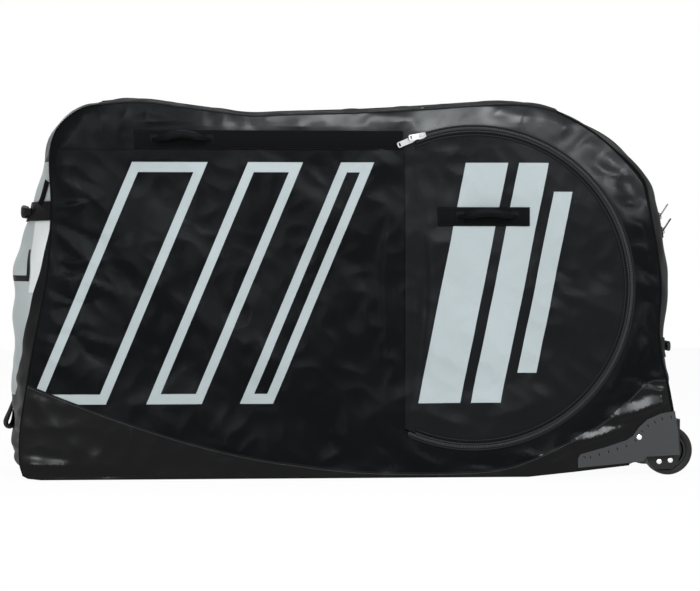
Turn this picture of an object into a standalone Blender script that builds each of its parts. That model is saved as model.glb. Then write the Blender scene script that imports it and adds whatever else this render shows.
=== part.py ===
"""Soft travel bag for one bicycle, stood on its base and two wheels.

X runs from the front end to the wheeled rear end, the near side faces -Y, and Z is up from the floor.
All sizes are in metres. A piece that repeats on both sides is made once for each side.
"""
import math
from collections import namedtuple

import bmesh
import bpy
from mathutils import Matrix, Vector

# The whole bag
BODY_LENGTH = 1.340
BODY_WIDTH = 0.300
END_BULGE = 0.080
PANEL_WALL = 0.008
FLAP_WALL = 0.004
SEAM_GAP = 0.0004
BAND_GAP = 0.0014

# The side seam as rows of x, z, bulge and lean shares: of the length, of the height, of END_BULGE
# and of a right angle. Lean 0 bulges along X, lean 1 straight up.
TOP_CROWN_SHARE = 0.175
FRONT_EDGE_SHARES = (
    (-0.4850, 0.016, 0.00, 0.0), (-0.4900, 0.053, 0.22, 0.0), (-0.4890, 0.133, 0.30, 0.0),
    (-0.4790, 0.255, 0.46, 0.0), (-0.4690, 0.359, 0.64, 0.0), (-0.4560, 0.476, 0.84, 0.0),
    (-0.4485, 0.560, 0.96, 0.0), (-0.4450, 0.633, 0.80, 0.0), (-0.4425, 0.733, 0.58, 0.0),
    (-0.4450, 0.853, 0.22, 0.05), (-0.4365, 0.920, 0.18, 0.25), (-0.4180, 0.960, 0.175, 0.55),
    (-0.3955, 0.984, 0.175, 0.8), (-0.3730, 0.9935, TOP_CROWN_SHARE, 1.0),
)
REAR_EDGE_SHARES = (
    (0.4900, 0.160, 0.10, 0.0), (0.4865, 0.209, 0.18, 0.0), (0.4820, 0.253, 0.26, 0.0),
    (0.4715, 0.319, 0.36, 0.0), (0.4655, 0.400, 0.44, 0.0), (0.4725, 0.479, 0.46, 0.0),
    (0.4700, 0.549, 0.50, 0.0), (0.4642, 0.632, 0.50, 0.0), (0.4560, 0.703, 0.50, 0.0),
    (0.4478, 0.773, 0.50, 0.0), (0.4455, 0.793, 0.50, 0.0), (0.4240, 0.839, 0.40, 0.25),
    (0.3880, 0.903, 0.28, 0.5), (0.3550, 0.944, 0.20, 0.75), (0.3135, 0.981, TOP_CROWN_SHARE, 1.0),
)
TOP_EDGE_SHARES = (
    (-0.3730, 0.9935), (-0.3360, 1.0), (-0.2990, 1.0), (-0.2540, 0.989), (-0.1940, 0.975),
    (-0.1450, 0.9655), (-0.0900, 0.969), (0.0150, 0.975), (0.1120, 0.985), (0.2090, 0.997),
    (0.2540, 0.999), (0.2910, 0.991), (0.3135, 0.981),
)
UNDERSIDE_SHARES = (
    (-0.4865, 0.0120), (-0.4780, 0.0040), (-0.4590, 0.0), (0.2690, 0.0), (0.3430, 0.0133), (0.4225, 0.0293),
)
WHEEL_END_SHARES = ((0.4440, 0.0490), (0.4490, 0.0560), (0.4950, 0.0600))
HINGE_LINE_SHARE = 0.95333
EDGE_STEPS = 2
ACROSS_SHARES = (0.3, 0.55, 0.75, 0.9)

# Base
COVER_WALL = 0.0025
BOARD_WALL = 0.005
BOARD_FRONT_INSET = 0.040
PAD_THICKNESS = 0.012
PAD_INSET = 0.012

# Webbing and zips
WEBBING_WIDTH = 0.038
WEBBING_WALL = 0.002
TAPE_WALL = 0.0012
TAPE_WIDTH = 0.0157
TAPE_PARTING = 0.0003
REAR_ZIP_FOOT_Z = 0.483

# Wheel pocket and its door
POCKET_RADIUS = 0.316
POCKET_FOOT_Z = 0.065
POCKET_HEAD_GAP = 0.018
POCKET_REAR_MARGIN = 0.104
POCKET_SEAM_REACH = 0.140
DOOR_WALL = 0.006
ZIP_RELIEF = 0.006
TAPE_END_INSET = 0.006
DOOR_TAPE_END_INSET = 0.017
SLEEVE_MARGIN = 0.009
SLEEVE_WALL = 0.003
SLEEVE_DEPTH = 0.045
ARC_STEPS = 40

# Zip slider and pull
SLIDER_LENGTH = 0.016
SLIDER_WIDTH = 0.012
SLIDER_HEIGHT = 0.004
SLIDER_WAIST_SHARE = 0.7
BRIDGE_LENGTH = 0.012
BRIDGE_WIDTH = 0.003
BRIDGE_HEIGHT = 0.0037
BRIDGE_BAR = 0.0013
BRIDGE_SINK = 0.0005
PULL_LENGTH = 0.030
PULL_WIDTH = 0.0115
PULL_WALL = 0.0016
PULL_RISE = 0.0012
PULL_EYE_MARGIN = 0.0012
PULL_EYE_SHARE = 0.78
PULL_CHAMFER_SHARE = 0.4
PULL_SLOT_WIDTH_SHARE = 0.6
PULL_SLOT_SHARES = (0.78, 0.90)
SLIDER_LIFT = 0.0009
POCKET_SLIDER_A_ANGLE = math.radians(113.3)
POCKET_SLIDER_B_ANGLE = math.radians(109.2)
PULL_B_YAW = math.radians(-8)
PULL_B_LIFT = math.radians(20)
MAIN_SLIDER_A_Z = 0.527
MAIN_SLIDER_B_Z = 0.497
MAIN_PULL_LIFT = math.radians(45)

# Side strip and handles
STRIP_FRONT_INSET = 0.240
STRIP_SEAM_GAP = 0.004
STRIP_DROP = 0.039
SIDE_HANDLE_INSET = 0.095
DOOR_HANDLE_OFFSET = 0.026
DOOR_HANDLE_RISE = 0.143
DOOR_PATCH_LENGTH = 0.186
DOOR_PATCH_OFFSET = 0.019
HANDLE_SPAN = 0.116
HANDLE_BOW = 0.020
HANDLE_STANDOFF = 0.0043
HANDLE_SIDES = 8
HANDLE_END_HALF = Vector((0.004, 0.004))
HANDLE_GRIP_HALF = Vector((0.006, 0.008))
HANDLE_RISE_SHARES = (
    (0.0, 0.0, 0.0), (0.06, 0.34, 0.15), (0.14, 0.72, 0.45), (0.24, 0.93, 0.95), (0.36, 1.0, 1.0),
    (0.50, 1.0, 1.0), (0.64, 1.0, 1.0), (0.76, 0.93, 0.95), (0.86, 0.72, 0.45), (0.94, 0.34, 0.15),
    (1.0, 0.0, 0.0),
)
FRONT_HANDLE_Z = 0.535
FRONT_HANDLE_SPAN = 0.150
FRONT_HANDLE_BOW = 0.024
FRONT_GRIP_HALF = Vector((0.006, 0.014))
REAR_HANDLE_Z = 0.258
REAR_HANDLE_SPAN = 0.120
REAR_HANDLE_BOW = 0.011
REAR_GRIP_HALF = Vector((0.0035, 0.011))

# Tow loop: its path in x and z from where its upper end is sewn on
TOW_LOOP_GAP = 0.0004
TOW_LOOP_Z = 0.168
TOW_LOOP_REACH = 0.0166
TOW_LOOP_DROP = 0.070
TOW_LOOP_WALL = 0.0038
TOW_LOOP_SHARES = (
    (0.0, 0.0), (0.0, 0.20), (0.16, 0.34), (0.55, 0.60), (0.93, 0.82), (1.0, 0.92), (0.86, 1.0),
    (0.50, 1.02), (0.18, 0.95), (0.05, 0.84), (0.0, 0.70), (0.0, 0.52),
)

# Tarpaulin skirt: its upper seam as shares of the length and height
SKIRT_WALL = 0.001
SKIRT_SEAM_SHARES = (
    (-0.4785, 0.253), (-0.4080, 0.203), (-0.3255, 0.149), (-0.2345, 0.097), (-0.1625, 0.065),
    (-0.0940, 0.043), (0.0150, 0.020), (0.1500, 0.015), (0.2360, 0.028), (0.3090, 0.079),
    (0.3720, 0.137), (0.4135, 0.196), (0.4510, 0.257), (0.4780, 0.263),
)

# Corner guard: its outline as shares of its own length and height, from its front foot
GUARD_LENGTH = 0.2077
GUARD_HEIGHT = 0.1316
GUARD_END_INSET = 0.002
GUARD_WALL = 0.003
GUARD_SHARES = (
    (0.000, 0.137), (0.642, 0.228), (0.674, 0.302), (1.000, 0.325), (0.984, 0.684), (0.952, 1.000),
    (0.816, 0.963), (0.681, 0.872), (0.600, 0.758), (0.539, 0.621), (0.471, 0.553), (0.268, 0.450),
    (0.023, 0.342), (0.000, 0.274),
)
GUARD_TOP_SHARES = GUARD_SHARES[5:]
SLOT_COUNT = 12
SLOT_LENGTH = 0.006
SLOT_WIDTH = 0.0016
SLOT_INSET = 0.0105

# Wheels and their housings
WHEEL_RADIUS = 0.050
WHEEL_WIDTH = 0.030
WHEEL_END_INSET = 0.020
WHEEL_Y = 0.1175
WHEEL_STEPS = 28
HUB_RADIUS = 0.0358
TYRE_PROFILE_SHARES = (
    (0.724, 0.417), (0.724, -0.417), (0.810, -0.5), (0.940, -0.467), (1.0, -0.25), (1.0, 0.25),
    (0.940, 0.467), (0.810, 0.5),
)
HUB_PROFILE_SHARES = (
    (0.1790, 0.417), (0.1790, -0.417), (0.335, -0.417), (0.377, -0.167), (0.810, -0.167),
    (0.866, -0.383), (1.0, -0.383), (1.0, 0.383), (0.866, 0.383), (0.810, 0.167), (0.377, 0.167),
    (0.335, 0.417),
)
AXLE_RADIUS = 0.006
AXLE_HEAD_RADIUS = 0.009
AXLE_HEAD_WALL = 0.0024
RUNNING_GAP = 0.0004
CHEEK_WALL = 0.003
CHEEK_GAP = 0.003
CHEEK_FOOT_SHARES = ((0.0, 0.38), (0.12, 0.11), (0.28, 0.0), (0.78, 0.0), (0.93, 0.10), (1.0, 0.28))
CHEEK_FOOT_Z = 0.013
CHEEK_LENGTH = 0.074
CHEEK_REACH = 0.052
HOUSING_TOP_WALL = 0.004
RIVET_OFFSETS = (Vector((-0.065, 0.029)), Vector((-0.021, -0.0215)), Vector((0.002, -0.019)))
RIVET_RADIUS = 0.003
RIVET_HEAD_RADIUS = 0.0052
RIVET_HEAD_HEIGHT = 0.0018
RIVET_CLEARANCE = 0.0004
RIVET_PLATE_HALF = 0.0065
RIVET_PLATE_WALL = 0.0012
RIVET_STEPS = 12
BEAM_LENGTH = 0.036
BEAM_HEIGHT = 0.026
BEAM_WALL = 0.003
OVERRUN = 0.002

# Worked out from the sizes above
SIDE_FACE = BODY_WIDTH / 2
GUSSET_HALF = SIDE_FACE - PANEL_WALL - SEAM_GAP
HINGE_Z = POCKET_FOOT_Z + 2 * POCKET_RADIUS + POCKET_HEAD_GAP
BODY_HEIGHT = HINGE_Z / HINGE_LINE_SHARE
POCKET_X = BODY_LENGTH / 2 - POCKET_REAR_MARGIN - POCKET_RADIUS
POCKET_Z = POCKET_FOOT_Z + POCKET_RADIUS
POCKET_SEAM_X = POCKET_X - POCKET_SEAM_REACH
STRIP_X0 = STRIP_FRONT_INSET - BODY_LENGTH / 2
STRIP_X1 = POCKET_SEAM_X - STRIP_SEAM_GAP
STRIP_Z = HINGE_Z - STRIP_DROP
SIDE_HANDLE_X = STRIP_X0 + SIDE_HANDLE_INSET
DOOR_HANDLE_X = POCKET_X + DOOR_HANDLE_OFFSET
DOOR_HANDLE_Z = POCKET_Z + DOOR_HANDLE_RISE
DOOR_PATCH_X = POCKET_X + DOOR_PATCH_OFFSET
WHEEL_X = BODY_LENGTH / 2 - WHEEL_END_INSET
CHEEK_X = WHEEL_X - CHEEK_REACH
RIVET_PLACES = [Vector((WHEEL_X, WHEEL_RADIUS)) + offset for offset in RIVET_OFFSETS]
FLAP_X0 = FRONT_EDGE_SHARES[-1][0] * BODY_LENGTH
FLAP_X1 = REAR_EDGE_SHARES[-1][0] * BODY_LENGTH
REAR_FOOT_Z = REAR_EDGE_SHARES[0][1] * BODY_HEIGHT
SHELF_Z = REAR_FOOT_Z - SEAM_GAP - BOARD_WALL
HOUSING_TOP_Z = SHELF_Z - SEAM_GAP
SIDES = (("near", -1), ("far", 1))

Station = namedtuple("Station", "x z out bulge")

FINISHES = {
    "coated_nylon": ((0.012, 0.013, 0.015), 0.55, 0.0),
    "tarpaulin": ((0.008, 0.009, 0.010), 0.22, 0.0),
    "end_panel": ((0.52, 0.56, 0.56), 0.5, 0.0),
    "webbing": ((0.009, 0.009, 0.010), 0.75, 0.0),
    "zip_tape": ((0.014, 0.014, 0.015), 0.6, 0.0),
    "zip_metal": ((0.75, 0.75, 0.77), 0.25, 1.0),
    "moulded_plastic": ((0.058, 0.058, 0.060), 0.45, 0.0),
    "stiff_board": ((0.02, 0.02, 0.02), 0.5, 0.0),
    "foam": ((0.05, 0.05, 0.05), 0.9, 0.0),
    "tyre": ((0.012, 0.011, 0.011), 0.6, 0.0),
    "hub": ((0.03, 0.03, 0.03), 0.4, 0.0),
    "steel": ((0.72, 0.72, 0.73), 0.25, 1.0),
}


def clear_scene():
    """Remove every object, so the model is alone in the file."""
    for thing in list(bpy.data.objects):
        bpy.data.objects.remove(thing, do_unlink=True)


def finish_material(name):
    """One Principled material for each finish, made at its first use."""
    material = bpy.data.materials.get(name)
    if material is None:
        colour, roughness, metallic = FINISHES[name]
        material = bpy.data.materials.new(name)
        material.use_nodes = True
        shader = material.node_tree.nodes["Principled BSDF"]
        shader.inputs["Base Color"].default_value = (*colour, 1.0)
        shader.inputs["Roughness"].default_value = roughness
        shader.inputs["Metallic"].default_value = metallic
    return material


def add_object(name, mesh, finish, pivot=None, smooth=False):
    """Turn a bmesh drawn in the bag's frame into an object whose origin is its pivot."""
    bmesh.ops.recalc_face_normals(mesh, faces=mesh.faces)
    origin = Vector(pivot) if pivot is not None else Vector()
    bmesh.ops.translate(mesh, verts=mesh.verts, vec=-origin)
    data = bpy.data.meshes.new(name)
    mesh.to_mesh(data)
    mesh.free()
    data.materials.append(finish_material(finish))
    if smooth:
        data.shade_smooth()
        data.set_sharp_from_angle(angle=math.radians(40))
    thing = bpy.data.objects.new(name, data)
    thing.location = origin
    bpy.context.collection.objects.link(thing)
    return thing


def cut(thing, mesh, operation="DIFFERENCE"):
    """Take a closed shape away from an object, or join it on, with a live Boolean."""
    tool = add_object(thing.name + "_tool", mesh, "steel")
    tool.display_type = "WIRE"
    tool.hide_render = True
    boolean = thing.modifiers.new(tool.name, "BOOLEAN")
    boolean.operation = operation
    boolean.solver = "EXACT"
    boolean.object = tool


def skin_rings(rings):
    """One closed skin through rings with equal counts of points, capped at both ends."""
    mesh = bmesh.new()
    loops = [[mesh.verts.new(point) for point in ring] for ring in rings]
    for low, high in zip(loops, loops[1:]):
        for index in range(len(low)):
            after = (index + 1) % len(low)
            mesh.faces.new((low[index], low[after], high[after], high[index]))
    mesh.faces.new(loops[0])
    mesh.faces.new(loops[-1])
    return mesh


def plate(outer, y0, y1, holes=()):
    """A flat plate from an outline in x and z, with holes right through, from y0 to y1."""
    mesh = bmesh.new()
    edges = []
    for outline in (outer, *holes):
        points = [mesh.verts.new((x, y0, z)) for x, z in outline]
        edges += [mesh.edges.new(pair) for pair in zip(points, points[1:] + points[:1])]
    filled = bmesh.ops.triangle_fill(mesh, edges=edges, use_beauty=True, use_dissolve=False)
    faces = [item for item in filled["geom"] if isinstance(item, bmesh.types.BMFace)]
    grown = bmesh.ops.extrude_face_region(mesh, geom=faces, use_keep_orig=True)
    moved = [item for item in grown["geom"] if isinstance(item, bmesh.types.BMVert)]
    bmesh.ops.translate(mesh, verts=moved, vec=(0, y1 - y0, 0))
    return mesh


def block(x0, x1, y0, y1, z0, z1):
    """A box between two corners."""
    return plate(((x0, z0), (x1, z0), (x1, z1), (x0, z1)), y0, y1)


def circle(centre, radius, steps):
    """Points of a circle in x and z."""
    turn = 2 * math.pi / steps
    return [(centre[0] + radius * math.cos(turn * k), centre[1] + radius * math.sin(turn * k))
            for k in range(steps)]


def turned(x, z, rows, steps):
    """A solid of revolution about a line along Y, from rows of y and radius."""
    return skin_rings([[(px, y, pz) for px, pz in circle((x, z), radius, steps)] for y, radius in rows])


def turned_ring(x, z, y, profile, radius, width, steps):
    """A ring about a line along Y, spun from a closed profile of radius and width shares."""
    mesh = bmesh.new()
    points = [mesh.verts.new((x, y + across * width, z - out * radius)) for out, across in profile]
    edges = [mesh.edges.new(pair) for pair in zip(points, points[1:] + points[:1])]
    bmesh.ops.spin(mesh, geom=points + edges, cent=(x, y, z), axis=(0, 1, 0), dvec=(0, 0, 0),
                   angle=2 * math.pi, steps=steps, use_merge=True, use_duplicate=False)
    return mesh


def smooth_rows(rows, steps):
    """Rows of equal width joined by Catmull-Rom curves that pass through every row."""
    result = []
    last = len(rows) - 1
    for index in range(last):
        before = rows[max(index - 1, 0)]
        start = rows[index]
        end = rows[index + 1]
        after = rows[min(index + 2, last)]
        for step in range(steps):
            t = step / steps
            result.append(tuple(
                b + 0.5 * t * (c - a + t * (2 * a - 5 * b + 4 * c - d + t * (3 * (b - c) + d - a)))
                for a, b, c, d in zip(before, start, end, after)))
    result.append(tuple(rows[-1]))
    return result


def edge_stations(rows, facing):
    """Stations along an end of the bag: the side seam's point, and how the panel bulges from it."""
    stations = []
    for x, z, bulge, lean_share in smooth_rows(rows, EDGE_STEPS):
        lean = lean_share * math.pi / 2
        out = Vector((facing * math.cos(lean), 0, math.sin(lean)))
        stations.append(Station(x * BODY_LENGTH, z * BODY_HEIGHT, out, bulge * END_BULGE))
    return stations


def station_between(low, high, t):
    """A station on the straight run between two others."""
    return Station(low.x + (high.x - low.x) * t, low.z + (high.z - low.z) * t,
                   low.out.lerp(high.out, t), low.bulge + (high.bulge - low.bulge) * t)


def station_at(stations, z):
    """The station at one height."""
    for low, high in zip(stations, stations[1:]):
        if low.z <= z <= high.z:
            return station_between(low, high, (z - low.z) / (high.z - low.z))
    return stations[-1]


def stations_from(stations, z0, z1):
    """The stations of a band between two heights."""
    inner = [station for station in stations if z0 < station.z < z1]
    return [station_at(stations, z0), *inner, station_at(stations, z1)]


def gusset_point(station, y, lift):
    """A point of an end panel's outer face, lifted off it by a given amount."""
    swell = station.bulge * (1 - (y / GUSSET_HALF) ** 2)
    return Vector((station.x, y, station.z)) + station.out * (swell + lift)


def gusset_skin(stations, across, lift, wall):
    """A closed band that follows an end panel, from lift to lift plus wall off its outer face."""
    rings = []
    for station in stations:
        outer = [gusset_point(station, y, lift + wall) for y in across]
        inner = [gusset_point(station, y, lift) for y in reversed(across)]
        rings.append(outer + inner)
    return skin_rings(rings)


def across_values(half):
    """The y of each column of an end panel out to a half width, webbing edges included."""
    places = [share * GUSSET_HALF for share in ACROSS_SHARES]
    sides = sorted({WEBBING_WIDTH / 2, *[place for place in places if place < half], half})
    return [-y for y in reversed(sides)] + [0.0] + sides


def seam_line(shares):
    """Points in x and z from shares of the length and the height."""
    return [(x * BODY_LENGTH, z * BODY_HEIGHT) for x, z in shares]


def raised(points, rise):
    """The same points, moved up."""
    return [(x, z + rise) for x, z in points]


def d_outline(radius, seam_x):
    """A circle cut off by an upright seam on its left."""
    sweep = math.acos((seam_x - POCKET_X) / radius)
    return [(POCKET_X + radius * math.cos(angle), POCKET_Z + radius * math.sin(angle))
            for angle in (sweep * (2 * k / ARC_STEPS - 1) for k in range(ARC_STEPS + 1))]


def layer(side, low, high):
    """The two y values of a layer that lies low to high outside the side panel's outer face."""
    return side * (SIDE_FACE + low), side * (SIDE_FACE + high)


def make_base(front, rear):
    """The coated underside, the stiff board with its wheel step, and the floor pad."""
    underside = seam_line(UNDERSIDE_SHARES)
    cover = underside + raised(underside, COVER_WALL)[::-1]
    add_object("base_cover", plate(cover, -SIDE_FACE, SIDE_FACE), "tarpaulin")
    rise = COVER_WALL + SEAM_GAP
    front_x = front[0].x + BOARD_FRONT_INSET
    flat_x, slope, end = underside[3], underside[4], underside[5]
    step_x = end[0] + BOARD_WALL
    rear_x = rear[0].x
    lower = [(front_x, rise), (flat_x[0], rise), (slope[0], slope[1] + rise),
             (step_x, end[1] + rise + SEAM_GAP), (step_x, SHELF_Z), (rear_x, SHELF_Z)]
    upper = [(rear_x, SHELF_Z + BOARD_WALL), (end[0], SHELF_Z + BOARD_WALL),
             (end[0], end[1] + rise + BOARD_WALL), (slope[0], slope[1] + rise + BOARD_WALL),
             (flat_x[0], rise + BOARD_WALL), (front_x, rise + BOARD_WALL)]
    add_object("base_board", plate(lower + upper, -GUSSET_HALF, GUSSET_HALF), "stiff_board")
    pad_z = rise + BOARD_WALL + SEAM_GAP
    pad_half = GUSSET_HALF - PAD_INSET
    add_object("floor_pad", block(front_x, flat_x[0] - PAD_INSET, -pad_half, pad_half,
                                  pad_z, pad_z + PAD_THICKNESS), "foam")


def make_ends(front, rear):
    """The two bulging end panels between the side panels."""
    across = across_values(GUSSET_HALF)
    for name, stations, finish in (("front_end_panel", front, "end_panel"),
                                   ("rear_end_panel", rear, "coated_nylon")):
        mesh = gusset_skin(stations, across, -PANEL_WALL, PANEL_WALL)
        add_object(name, mesh, finish, smooth=True)


def side_outline(front, rear):
    """The side panel: both end seams, the notch for the flap, and the line above the base."""
    foot = raised(seam_line(UNDERSIDE_SHARES), COVER_WALL + SEAM_GAP)
    left = [(station.x, station.z) for station in front]
    right = [(station.x, station.z) for station in reversed(rear)]
    notch = [(FLAP_X0, HINGE_Z), (FLAP_X1, HINGE_Z)]
    wheel_end = seam_line(WHEEL_END_SHARES)
    return left + notch + right + wheel_end[::-1] + foot[:0:-1]


def make_side_panel(label, side, front, rear):
    """A flat padded panel with the D-shaped pocket opening and the upper rivet's hole."""
    y0, y1 = layer(side, 0, -PANEL_WALL)
    opening = d_outline(POCKET_RADIUS + ZIP_RELIEF, POCKET_SEAM_X)
    rivet_hole = circle(RIVET_PLACES[0], RIVET_RADIUS + RIVET_CLEARANCE, RIVET_STEPS)
    mesh = plate(side_outline(front, rear), y0, y1, (opening, rivet_hole))
    add_object("side_panel_" + label, mesh, "coated_nylon")


def crown_rise(y):
    """How far the crowned top stands over the side seams at one y."""
    return TOP_CROWN_SHARE * END_BULGE * (1 - (y / SIDE_FACE) ** 2)


def make_flap(label, side):
    """Half of the top with its strip of side, and its half of the main zip, hinged along the strip."""
    centre = TAPE_PARTING
    tape_edge = WEBBING_WIDTH / 2
    columns = [SIDE_FACE, *[share * SIDE_FACE for share in reversed(ACROSS_SHARES)], tape_edge, centre]
    inner_y = SIDE_FACE - FLAP_WALL
    low_z = HINGE_Z + SEAM_GAP
    flap_rings = []
    tape_rings = []
    for index, (x_share, z_share) in enumerate(TOP_EDGE_SHARES):
        x = x_share * BODY_LENGTH
        if index == 0:
            x += SEAM_GAP
        if index == len(TOP_EDGE_SHARES) - 1:
            x -= SEAM_GAP
        seam_z = z_share * BODY_HEIGHT
        outer = [(x, side * y, seam_z + crown_rise(y)) for y in columns]
        inner = [(x, side * y, seam_z + crown_rise(y) - FLAP_WALL) for y in reversed(columns[1:])]
        corner = [(x, side * inner_y, seam_z - FLAP_WALL), (x, side * inner_y, low_z)]
        flap_rings.append([(x, side * SIDE_FACE, low_z), *outer, *inner, *corner])
        tape_z = seam_z + SEAM_GAP
        band = [(x, side * y, tape_z + crown_rise(y) + TAPE_WALL) for y in (tape_edge, centre)]
        under = [(x, side * y, tape_z + crown_rise(y)) for y in (centre, tape_edge)]
        tape_rings.append(band + under)
    pivot = (0, side * SIDE_FACE, HINGE_Z)
    add_object("top_flap_" + label, skin_rings(flap_rings), "coated_nylon", pivot)
    add_object("main_zip_tape_" + label, skin_rings(tape_rings), "zip_tape", pivot)


def arc_band(radius0, radius1, end_inset, y0, y1):
    """A flat ring segment about the pocket's centre, stopped short of the upright seam."""
    sweep = math.acos((POCKET_SEAM_X + end_inset - POCKET_X) / POCKET_RADIUS)
    rings = []
    for k in range(ARC_STEPS + 1):
        angle = sweep * (2 * k / ARC_STEPS - 1)
        rings.append([(POCKET_X + radius * math.cos(angle), y, POCKET_Z + radius * math.sin(angle))
                      for radius, y in ((radius0, y0), (radius1, y0), (radius1, y1), (radius0, y1))])
    return skin_rings(rings)


def make_pocket(label, side):
    """The door on its upright seam, both halves of its zip, and the sleeve behind it."""
    pivot = (POCKET_SEAM_X, side * SIDE_FACE, POCKET_Z)
    y0, y1 = layer(side, 0, -DOOR_WALL)
    outline = d_outline(POCKET_RADIUS - ZIP_RELIEF, POCKET_SEAM_X + 2 * SEAM_GAP)
    add_object("pocket_door_" + label, plate(outline, y0, y1), "coated_nylon", pivot)
    y0, y1 = layer(side, SEAM_GAP, SEAM_GAP + TAPE_WALL)
    inner = arc_band(POCKET_RADIUS - TAPE_WIDTH, POCKET_RADIUS - TAPE_PARTING, DOOR_TAPE_END_INSET, y0, y1)
    outer = arc_band(POCKET_RADIUS + TAPE_PARTING, POCKET_RADIUS + TAPE_WIDTH, TAPE_END_INSET, y0, y1)
    add_object("door_zip_tape_" + label, inner, "zip_tape", pivot)
    add_object("panel_zip_tape_" + label, outer, "zip_tape")
    rim_y = side * (SIDE_FACE - PANEL_WALL - SEAM_GAP)
    floor_y = rim_y - side * SLEEVE_DEPTH
    clear = d_outline(POCKET_RADIUS + SLEEVE_MARGIN, POCKET_SEAM_X - SLEEVE_WALL)
    wall = d_outline(POCKET_RADIUS + SLEEVE_MARGIN + SLEEVE_WALL, POCKET_SEAM_X - 2 * SLEEVE_WALL)
    rings = [[(x, y, z) for x, z in shape] for shape, y in (
        (clear, floor_y), (clear, rim_y), (wall, rim_y), (wall, floor_y - side * SLEEVE_WALL))]
    add_object("wheel_pocket_" + label, skin_rings(rings), "foam")


def slider_mesh():
    """A zip slider along +X with +Y outward: a tapered body."""
    half_length = SLIDER_LENGTH / 2
    half_width = SLIDER_WIDTH / 2
    waist = half_width * SLIDER_WAIST_SHARE
    outline = ((-half_length, -waist), (0, -half_width), (half_length, -half_width),
               (half_length, half_width), (0, half_width), (-half_length, waist))
    return plate(outline, 0, SLIDER_HEIGHT)


def bridge_mesh():
    """The bridge over the slider, with the gap that the pull's bar passes through."""
    half = BRIDGE_LENGTH / 2
    gap = half - BRIDGE_BAR
    low = SLIDER_HEIGHT - BRIDGE_SINK
    top = SLIDER_HEIGHT + BRIDGE_HEIGHT
    under = top - BRIDGE_BAR
    ring = ((-half, low), (-half, top - BRIDGE_BAR), (-gap, top), (gap, top), (half, top - BRIDGE_BAR),
            (half, low), (gap, low), (gap, under), (-gap, under), (-gap, low))
    return skin_rings([[(x, y, z) for x, y in ring] for z in (-BRIDGE_WIDTH / 2, BRIDGE_WIDTH / 2)])


def pull_mesh():
    """A pull along +X from its bar at the origin: an eye round the bar and a slot near the tip."""
    half = PULL_WIDTH / 2
    edge = PULL_WALL / 2
    tip = PULL_LENGTH
    chamfer = half * PULL_CHAMFER_SHARE
    outline = ((-edge, -half + chamfer), (chamfer, -half), (tip - chamfer, -half), (tip, -half + chamfer),
               (tip, half - chamfer), (tip - chamfer, half), (chamfer, half), (-edge, half - chamfer))
    eye_half = half * PULL_EYE_SHARE
    eye_end = BRIDGE_LENGTH / 2 + PULL_EYE_MARGIN
    eye = ((edge, -eye_half), (eye_end, -eye_half), (eye_end, eye_half), (edge, eye_half))
    slot_half = half * PULL_SLOT_WIDTH_SHARE
    slot_start, slot_end = [tip * share for share in PULL_SLOT_SHARES]
    slot = ((slot_start, -slot_half), (slot_end, -slot_half), (slot_end, slot_half), (slot_start, slot_half))
    return plate(outline, -edge, edge, (eye, slot))


def add_slider(name, pull_name, frame, pull_turn, finish="zip_metal"):
    """Place a slider and its pull: frame carries +X along the zip and +Y outward."""
    body = slider_mesh()
    bmesh.ops.transform(body, matrix=frame, verts=body.verts)
    bridge = bridge_mesh()
    bmesh.ops.transform(bridge, matrix=frame, verts=bridge.verts)
    slider = add_object(name, body, finish)
    cut(slider, bridge, "UNION")
    pull = pull_mesh()
    bar = Matrix.Translation((0, SLIDER_HEIGHT + PULL_RISE, 0))
    placed = frame @ bar @ pull_turn
    bmesh.ops.transform(pull, matrix=placed, verts=pull.verts)
    add_object(pull_name, pull, finish, placed.to_translation())


def frame_matrix(origin, along, outward):
    """A placing matrix from an origin, the way along the zip and the way out from it."""
    x_axis = Vector(along).normalized()
    y_axis = Vector(outward)
    y_axis = (y_axis - y_axis.dot(x_axis) * x_axis).normalized()
    z_axis = x_axis.cross(y_axis)
    matrix = Matrix((x_axis, y_axis, z_axis)).transposed().to_4x4()
    matrix.translation = Vector(origin)
    return matrix


def make_pocket_sliders(label, side):
    """Both sliders of a pocket zip, parked at its upper left end."""
    track = POCKET_RADIUS + 2 * TAPE_PARTING + SLIDER_WIDTH / 2
    face = side * (SIDE_FACE + SEAM_GAP + TAPE_WALL + TAPE_PARTING)
    poses = (("a", POCKET_SLIDER_A_ANGLE, 0, 0), ("b", POCKET_SLIDER_B_ANGLE, PULL_B_YAW, PULL_B_LIFT))
    for letter, angle, yaw, lift in poses:
        origin = (POCKET_X + track * math.cos(angle), face, POCKET_Z + track * math.sin(angle))
        along = (-math.sin(angle), 0, math.cos(angle))
        frame = frame_matrix(origin, along, (0, side, 0))
        turn = Matrix.Rotation(-side * yaw, 4, "Y") @ Matrix.Rotation(lift, 4, "Z")
        add_slider("pocket_slider_{}_{}".format(letter, label),
                   "pocket_pull_{}_{}".format(letter, label), frame, turn)


def make_main_sliders(rear):
    """Both sliders of the main zip, parked at its lower rear end with their pulls standing out."""
    low = station_at(rear, REAR_ZIP_FOOT_Z)
    high = station_at(rear, MAIN_SLIDER_A_Z + PULL_LENGTH)
    lift = SEAM_GAP + TAPE_WALL + SLIDER_LIFT
    along = gusset_point(high, 0, 0) - gusset_point(low, 0, 0)
    for letter, z in (("a", MAIN_SLIDER_A_Z), ("b", MAIN_SLIDER_B_Z)):
        origin = gusset_point(station_at(rear, z), 0, lift)
        frame = frame_matrix(origin, along, (1, 0, 0))
        turn = Matrix.Rotation(MAIN_PULL_LIFT, 4, "Z")
        add_slider("main_slider_" + letter, "main_pull_" + letter, frame, turn)


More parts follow.
